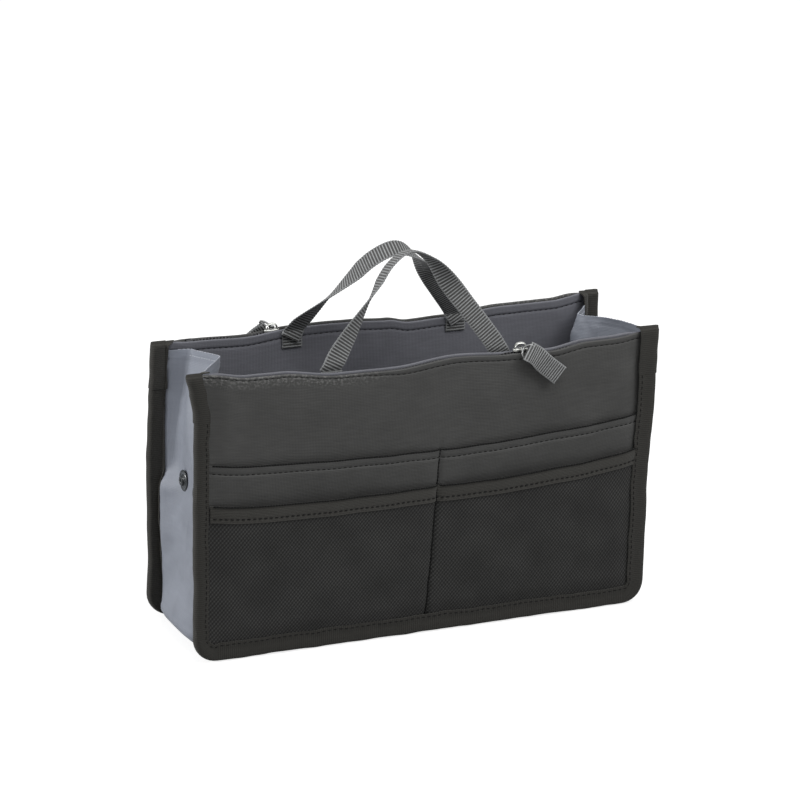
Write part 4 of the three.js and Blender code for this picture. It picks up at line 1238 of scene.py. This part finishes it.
class ORGANISER_OT_handles(Operator):
    """Makes each handle as one webbing, from its sewn end inside the rim, over the loop, to the other one."""

    bl_idname = "organiser.handles"
    bl_label = "Handles"

    def execute(self, context):
        """Sends the webbing along the handle's line with a quarter turn on each leg."""
        sizes = context.scene.organiser_sizes
        pitch = sizes.rib_pitch / MM
        for side in SIDES:
            line, frames = self.line(side, pitch)
            webbing = (pitch, WEB_WIDTH, sizes.webbing / MM)
            made = strap(f"{side}_handle_webbing", "webbing", line, frames, webbing,
                         lambda point: self.on_wall(side, *point))
            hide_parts(f"{side}_handle")
            hinge = wall_point(side, HANDLE_SHIFT[side], WEB_N, RIM[side] + HANDLE_LIFT)
            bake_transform(made)
            for word, end in ENDS:
                self.sewn_end(side, end, word, pitch)
        return {"FINISHED"}

    def sewn_end(self, side, end, word, pitch):
        """The short level patch of webbing that holds a handle's end against the lining."""
        x = HANDLE_SHIFT[side] + end * (HANDLE_HALF_SPAN + PATCH_SHIFT)
        foot = Vector((x, PATCH_N, RIM[side] - HANDLE_END))
        line = even([foot, foot + Vector((0, 0, PATCH_HEIGHT))], pitch / RIB_POINTS)
        frames = [(Vector((1, 0, 0)), Vector((0, 1, 0)))] * len(line)
        made = strap(f"{side}_handle_{word}_patch", "webbing", line, frames, (pitch, *PATCH_WEBBING),
                     lambda point: wall_point(side, *point))
        stand_for(made, f"{side}_handle_end_{word}", f"{side}_wall", "grey_webbing")

    def on_wall(self, side, x, height, out):
        """Where a point of the handle's (x, height, out) stands: above the hinge it leans into the bag."""
        lean = HANDLE_LEAN[side] if height > 0 else 0.0
        n = WEB_N - height * math.sin(lean) + out * math.cos(lean) - 0.95 * smooth(2, -4, height)
        z = RIM[side] + HANDLE_LIFT + height * math.cos(lean) + out * math.sin(lean)
        return wall_point(side, HANDLE_SHIFT[side] + x, n, z)

    def line(self, side, pitch):
        """Points along the handle and, for each, its across and through directions."""
        right = [Vector((u * HANDLE_HALF_SPAN, h * HANDLE_RISE, 0)) for u, h in HANDLE_KNOTS]
        right.append(right[-1] - Vector((-HANDLE_TAIL.x, HANDLE_TAIL.y, 0)))
        left = [Vector((-knot.x, knot.y, 0)) for knot in reversed(right)]
        line = even(soft_path(left + right[1:], 0.6), pitch / RIB_POINTS)
        tail = HANDLE_TAIL.length
        total = line[-1][0] - 2 * tail
        frames = []
        for i, (run, _) in enumerate(line):
            u = clamp((run - tail) / total)
            leg = 1 - abs(2 * u - 1)
            early = (u > 0.5) == (EARLY_LEG[side] > 0)
            turn = (clamp((leg - 0.08) / 0.6) if early else smooth(0.4, 0.97, leg)) * math.pi / 2
            tangent = heading(line, i)
            across = Vector((tangent.y, -tangent.x, 0)) * math.cos(turn)
            across.z += EARLY_LEG[side] * math.sin(turn)
            frames.append((across, tangent.cross(across).normalized()))
        return line, frames


class ORGANISER_OT_zips(Operator):
    """Makes each rim's zip: two tapes, two rows of teeth and the end stops."""

    bl_idname = "organiser.zips"
    bl_label = "Zips"

    def execute(self, context):
        """Hangs the tapes inside the rolled rim and sets teeth along them."""
        pitch = context.scene.organiser_sizes.tooth_pitch / MM
        columns, rows = steps(-ZIP_HALF, ZIP_HALF, 2.6), steps(*ZIP_TAPE, 1.5)
        for side in SIDES:
            for word, face in (("outer", 1), ("inner", -1)):
                tape = cloth(f"{side}_zip_{word}_tape", columns, rows, self.tape(side, face),
                             ZIP_TAPE_THICKNESS, "zip_tape")
                stand_for(tape, f"{side}_zip_tape_{word}", f"{side}_wall", "zip_tape")
                teeth = self.teeth(f"{side}_zip_{word}_teeth", side, face, pitch)
                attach(teeth, f"{side}_wall")
            for word, end in ENDS:
                mesh = bmesh.new()
                x = end * (ZIP_HALF - 0.6)
                add_block(mesh, (x, 0, zip_at(side, x) - 1.9), STOP, side, 0.5)
                stop = piece(f"{side}_zip_{word}_stop", mesh, "zip_teeth", 40)
                stand_for(stop, f"{side}_zip_stop_{word}", f"{side}_wall", "silver_metal")
        return {"FINISHED"}

    def tape(self, side, face):
        """Place function of a zip tape: it leans to the teeth at the top."""
        def place(x, drop):
            n = ZIP_TAPE_N - 0.35 * smooth(-5, -1.0, drop)
            return wall_point(side, x, face * n, zip_at(side, x) + drop)
        return place

    def teeth(self, name, side, face, pitch):
        """A row of round teeth; the outer row's stand between the inner row's."""
        mesh = bmesh.new()
        shift = pitch / 2 if face == 1 else 0.0
        size = Matrix.Diagonal(Vector((*TOOTH, 1 / MM)) * MM)
        for x in steps(-ZIP_HALF + TOOTH_MARGIN, ZIP_HALF - TOOTH_MARGIN, pitch):
            point = wall_point(side, x + shift, face * TOOTH_N, zip_at(side, x) - TOOTH_DROP)
            spot = Matrix.Translation(point)
            bmesh.ops.create_icosphere(mesh, subdivisions=1, radius=1.0, matrix=spot @ size)
        return piece(name, mesh, "zip_teeth", 80)


class ORGANISER_OT_sliders(Operator):
    """Makes each zip slider, its wire link and its doubled webbing tab."""

    bl_idname = "organiser.sliders"
    bl_label = "Zip sliders"

    def execute(self, context):
        """Builds the slider round its bail, then threads the link and folds the tab round the link."""
        pitch = TAB_RIBS * context.scene.organiser_sizes.rib_pitch / MM
        for side in SIDES:
            stand_for(self.body(side), f"{side}_zip_slider", f"{side}_zip_slider", "silver_metal")
            stand_for(self.link(side), f"{side}_zip_pull_link", f"{side}_zip_pull", "silver_metal")
            stand_for(self.tab(side, pitch), f"{side}_zip_pull_tab", f"{side}_zip_pull", "grey_webbing")
        return {"FINISHED"}

    def body(self, side):
        """Slider: a rounded plate over the rim, a keel between the rows and a domed bail."""
        x0, rim = SLIDER_X[side], RIM[side]
        long, wide, high = PLATE
        mesh = bmesh.new()
        for vert in bmesh.ops.create_circle(mesh, cap_ends=True, segments=28, radius=1.0)["verts"]:
            cx, cy = vert.co.x, vert.co.y
            square = (abs(cx) ** 3 + abs(cy) ** 3) ** (-1 / 3)
            narrow = 0.82 + 0.18 * smooth(-0.6, 0.6, cx)
            n = wide * cy * square * narrow
            vert.co = wall_point(side, x0 + long * cx * square, n, rim - PLATE_DROP)
        raised = bmesh.ops.extrude_face_region(mesh, geom=mesh.faces[:])["geom"]
        tops = [v for v in raised if isinstance(v, bmesh.types.BMVert)]
        bmesh.ops.translate(mesh, verts=tops, vec=(0, 0, high * MM))
        round_off(mesh, [e for e in mesh.edges if all(v in tops for v in e.verts)], 0.5, 3)
        add_block(mesh, (x0, 0, rim - 1.9), (5.4, 0.6, 4.0), side, 0.2)
        add_block(mesh, (x0, 0, rim - 3.3), (8.0, 2.6, 1.0), side, 0.3)
        self.bail(mesh, side, rim - PLATE_DROP + 1.2)
        return piece(f"{side}_zip_slider_casting", mesh, "metal", 45)

    def bail(self, mesh, side, foot):
        """A flat oval bar bent over the plate."""
        line = even(soft_path([Vector((x, 0, z)) for x, z in BAIL_KNOTS], 0.3), 0.45)
        thick, wide = BAIL_BAR

        def place(i, turn):
            tangent = heading(line, i)
            spot = line[i][1] - Vector((tangent.z, 0, -tangent.x)) * (thick * math.cos(turn))
            return wall_point(side, SLIDER_X[side] + spot.x, wide * math.sin(turn), foot + spot.z)
        add_bar(mesh, line, BAIL_FACETS, place)

    def pull_point(self, side, d, n, e):
        """A point of the pull: d down the hanging tab, n outward, e across it."""
        x = d * math.cos(PULL_DROOP) + e * math.sin(PULL_DROOP)
        z = -d * math.sin(PULL_DROOP) + e * math.cos(PULL_DROOP)
        return wall_point(side, SLIDER_X[side] + x, n, RIM[side] + PIN_LIFT + z)

    def link(self, side):
        """Wire link: a headed stem turns in the bail and opens, outside the rim, into a loop for the tab."""
        mesh = bmesh.new()
        stem = [(run, Vector((0, n, 0))) for run, (n, _) in enumerate(STEM)]
        self.wire(mesh, side, stem, [radius for _, radius in STEM])
        loop = even(soft_path([Vector(knot) for knot in LOOP_KNOTS], 0.4), 0.55)
        self.wire(mesh, side, loop, [LOOP_RADIUS] * len(loop))
        return piece(f"{side}_zip_pull_wire", mesh, "link", 60)

    def wire(self, mesh, side, line, radii):
        """A round wire along a line in the pull's own axes, with a radius at each point."""
        def place(i, turn):
            tangent = heading(line, i)
            aside = tangent.cross(WIRE_ASIDE).normalized()
            spot = line[i][1] + radii[i] * (aside * math.cos(turn) + tangent.cross(aside) * math.sin(turn))
            return self.pull_point(side, *spot)
        add_bar(mesh, line, WIRE_FACETS, place)

    def tab(self, side, pitch):
        """Webbing doubled round the link, its two plies sewn together below it."""
        knots = [Vector((d, TAB_N + n, 0)) for d, n in TAB_KNOTS]
        line = even(soft_path(knots, 0.4), pitch / RIB_POINTS)
        frames = []
        for i, (_, point) in enumerate(line):
            lean = TAB_LEAN * smooth(16, 5, point.x)
            across = Vector((0, -math.sin(lean), math.cos(lean)))
            frames.append((across, heading(line, i).cross(across).normalized()))
        return strap(f"{side}_zip_pull_webbing", "tab", line, frames, (pitch, *TAB_WEBBING),
                     lambda point: self.hanging(side, *point))

    def hanging(self, side, d, n, e):
        """Where a point of the tab hangs: it lifts a little over the rim, and its tail curls off the wall."""
        across = e + 0.9 * dent(d - 8, 5) - TAB_SLIP[side]
        return self.pull_point(side, d, n + 0.5 * smooth(20, 28, d), across)


class ORGANISER_OT_stitching(Operator):
    """Sews the visible rows of stitches: rims, pocket hems, divider, binding and gusset hems; lays dark
    thread along the pockets' mouths as painted shadow.
    """

    bl_idname = "organiser.stitching"
    bl_label = "Stitching"

    def execute(self, context):
        """Makes one piece of stitching for each body that carries seams; the walls' pieces also hold the
        painted shadow lines at the pockets' mouths.
        """
        rows = gusset_stations()
        for side in SIDES:
            mesh = bmesh.new()
            for path, kind in self.wall_seams(side):
                stitch(mesh, path, *kind)
            made = piece(f"{side}_wall_stitches_and_shadow_lines", mesh, "thread", 80)
            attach(made, f"{side}_wall")
            mesh = bmesh.new()
            for path in self.hem_rows(rows, gusset_place(rows, side)):
                stitch(mesh, path, 0.1, 0.3, length=2.4)
            made = piece(f"{side}_gusset_stitching", mesh, "pale_thread", 80)
            follow_wall(made)
        return {"FINISHED"}

    def row(self, side, face, height, depth):
        """A path along a wall at height(x), as far out as depth(x, z)."""
        path = []
        for x in steps(-SEWN_REACH, SEWN_REACH, 1.0):
            z = height(x)
            path.append((wall_point(side, x, depth(x, z), z), outward(side, face)))
        return path

    def wall_seams(self, side):
        """Every row of stitches, and every painted shadow line, that rides on a wall, with its kind of
        stitch. The lines along the pockets' mouths are painted shadow: dark thread overlapped into a solid
        line where the mouth's gap is shaded. The divider is a real seam, overlapped into a solid dark line
        that also paints the shade of its groove."""
        for face in (1, -1):
            yield self.row(side, face, lambda x: rim_at(side, x) - hem_drop(side, face, x),
                           lambda x, z: cloth_n(side, face, x, z) + face * 0.3), HEM_STITCH
        # Each pocket's first row is painted shadow along its mouth, its second the real stitches below it.
        for below, lift, kind in ((0.1, 0.1, MOUTH_SHADOW_LINE), (4.8, 0.3, POCKET_STITCH)):
            yield self.row(side, 1, lambda x: edge_height(side, SLIP_EDGE, x) - below,
                           lambda x, z: slip_n(side, x, z) + lift), kind
        for below, kind in ((0.0, MOUTH_SHADOW_LINE), (7.2, POCKET_STITCH)):
            yield self.row(side, 1, lambda x: edge_height(side, MESH_EDGE, x) - below + 0.2,
                           lambda x, z: mesh_n(side, x, z) + 0.85 + 0.3), kind
        # Real seam drawn as a solid dark line, with the shade of its groove painted in.
        yield self.divider(side), DIVIDER_STITCH_AND_SHADOW
        place = binding_place(side, 0, *TAPE_FLANGES)
        runs = steps(WRAP_LENGTH, EDGE_LENGTH - WRAP_LENGTH, 1.0)
        for share, face in ((93, 1), (8, -1)):
            out = outward(side, face)
            yield [(place(share, run) + out * (0.45 * MM), out) for run in runs], HEM_STITCH

    def divider(self, side):
        """The path up the pockets' divider, over the mesh and its hem to the slip pocket."""
        path = []
        for z in steps(12, SLIP_EDGE[side][1] - 0.5, 1.0):
            x = divider_at(side, z)
            top = edge_height(side, MESH_EDGE, x)
            over = 0.8 if z > top - 9.7 else 0.0
            n = slip_n(side, x, z) if z > top else mesh_n(side, x, z) + over
            path.append((wall_point(side, x, n + 0.55, z), outward(side, 1)))
        return path

    def hem_rows(self, rows, place):
        """The two rows of stitches along the hem at each end of the gusset."""
        runs = [row[0] for row in rows]
        for below in (0.0, GUSSET_HEM):
            for end, run in ((-1, below), (1, runs[-1] - below)):
                near = min(runs, key=lambda r: abs(r - run))
                out = Vector((end, 0, 0))
                yield [(place(y, near) + out * (0.35 * MM), out) for y in steps(0.6, LIP_Y - 1, 1.0)]


class ORGANISER_OT_stage(Operator):
    """Makes the white floor, the soft lights and the camera at the photograph's angle."""

    bl_idname = "organiser.stage"
    bl_label = "Stage"

    def execute(self, context):
        """Sets the floor, world, lamps and camera."""
        self.floor(context.scene)
        self.world(context.scene)
        for name, place, size, power in LAMPS:
            self.lamp(context.scene, name, place, size, power)
        self.camera(context.scene)
        context.scene.view_settings.view_transform = "Standard"
        return {"FINISHED"}

    def floor(self, scene):
        """A wide white floor that keeps the object's soft shadow."""
        mesh = bmesh.new()
        bmesh.ops.create_grid(mesh, x_segments=1, y_segments=1, size=6.0)
        data = bpy.data.meshes.new("floor")
        mesh.to_mesh(data)
        mesh.free()
        data.materials.append(self.board())
        made = bpy.data.objects.new("floor", data)
        scene.collection.objects.link(made)

    def board(self):
        """Painted white board: an even matt white, faintly cloudy, lifted to white for the eye alone."""
        material, tree, shader = fresh("painted_white_board")
        place = add_node(tree, "TexCoord", "Object")
        cloud = add_node(tree, "TexNoise", "Fac", {"Vector": place, "Scale": blots(25)})
        stops = ((0.3, linear("#b2b2b2")), (0.7, linear("#b6b6b6")))
        tone = add_node(tree, "ValToRGB", "Color", {"Fac": cloud}, stops)
        seen = add_node(tree, "LightPath", "Is Camera Ray")
        lift = add_node(tree, "Math", 0, {0: seen, 1: 0.8}, operation="MULTIPLY")
        fill(tree, shader, {"Base Color": tone, "Roughness": 0.9, "Emission Color": (*WHITE, 1),
                            "Emission Strength": lift})
        return material

    def world(self, scene):
        """White to the eye and in reflections, an even soft light to everything else."""
        scene.world = bpy.data.worlds.new("studio")
        scene.world.use_nodes = True
        tree = scene.world.node_tree
        path = add_node(tree, "LightPath")
        shown = path["Is Camera Ray"]
        for ray in ("Is Transmission Ray", "Is Glossy Ray"):
            shown = add_node(tree, "Math", 0, {0: shown, 1: path[ray]}, operation="MAXIMUM")
        level = add_node(tree, "MapRange", 0, {"Value": shown, "To Min": 0.22, "To Max": 1.0})
        fill(tree, tree.nodes["Background"], {"Strength": level, "Color": (*WHITE, 1)})

    def lamp(self, scene, name, place, size, power):
        """A square soft box aimed at the bag."""
        data = bpy.data.lights.new(name, "AREA")
        data.size = size
        data.energy = power
        made = bpy.data.objects.new(name, data)
        made.location = place
        made.rotation_euler = (Vector((0, 0, 0.1)) - Vector(place)).to_track_quat("-Z", "Y").to_euler()
        scene.collection.objects.link(made)

    def camera(self, scene):
        """The photograph's view, as fitted to the bag's corners in an 800 by 800 frame."""
        azimuth, elevation, roll = (math.radians(a) for a in (-22.66, 18.96, 1.29))
        distance, aside, above = 1.777, -0.00127, 0.03725
        focal_pixels, frame_pixels = 3078.0, 800
        level = Vector((math.sin(azimuth), -math.cos(azimuth), 0))
        back = level * math.cos(elevation) + Vector((0, 0, math.sin(elevation)))
        flat = Vector((0, 0, 1)).cross(back).normalized()
        steep = back.cross(flat)
        right = flat * math.cos(roll) + steep * math.sin(roll)
        up = steep * math.cos(roll) - flat * math.sin(roll)
        data = bpy.data.cameras.new("camera")
        data.sensor_width = 36.0
        data.lens = focal_pixels * data.sensor_width / frame_pixels
        made = bpy.data.objects.new("camera", data)
        spot = Vector((0, 0, 0.09)) + back * distance + right * aside + up * above
        made.matrix_world = Matrix.Translation(spot) @ Matrix((right, up, back)).transposed().to_4x4()
        scene.collection.objects.link(made)
        scene.camera = made


OPERATORS = (
    ORGANISER_OT_stage,
    ORGANISER_OT_wall_cloth,
    ORGANISER_OT_pockets,
    ORGANISER_OT_binding,
    ORGANISER_OT_gusset,
    ORGANISER_OT_press_studs,
    ORGANISER_OT_handles,
    ORGANISER_OT_zips,
    ORGANISER_OT_sliders,
    ORGANISER_OT_stitching,
)


class ORGANISER_PT_panel(Panel):
    """Lists the organiser's sizes, colours and pieces in the sidebar."""

    bl_idname = "ORGANISER_PT_panel"
    bl_label = "Organiser"
    bl_space_type = "VIEW_3D"
    bl_region_type = "UI"
    bl_category = "Organiser"

    def draw(self, context):
        """Draws every property and one button for each operator."""
        for group in (context.scene.organiser_sizes, context.scene.organiser_colours):
            for key in group.__annotations__:
                self.layout.prop(group, key)
        for made in OPERATORS:
            self.layout.operator(made.bl_idname)


CLASSES = (ORGANISER_PG_sizes, ORGANISER_PG_colours, *OPERATORS, ORGANISER_PT_panel)


def register():
    """Registers the classes and hangs the properties on the scene."""
    for made in CLASSES:
        bpy.utils.register_class(made)
    bpy.types.Scene.organiser_sizes = PointerProperty(type=ORGANISER_PG_sizes)
    bpy.types.Scene.organiser_colours = PointerProperty(type=ORGANISER_PG_colours)


def unregister():
    """Takes the properties and classes away again."""
    del bpy.types.Scene.organiser_colours
    del bpy.types.Scene.organiser_sizes
    for made in reversed(CLASSES):
        bpy.utils.unregister_class(made)


def main():
    """Builds the organiser piece by piece."""
    register()
    for made in OPERATORS:
        group, name = made.bl_idname.split(".")
        getattr(getattr(bpy.ops, group), name)()


if __name__ == "__main__":
    main()
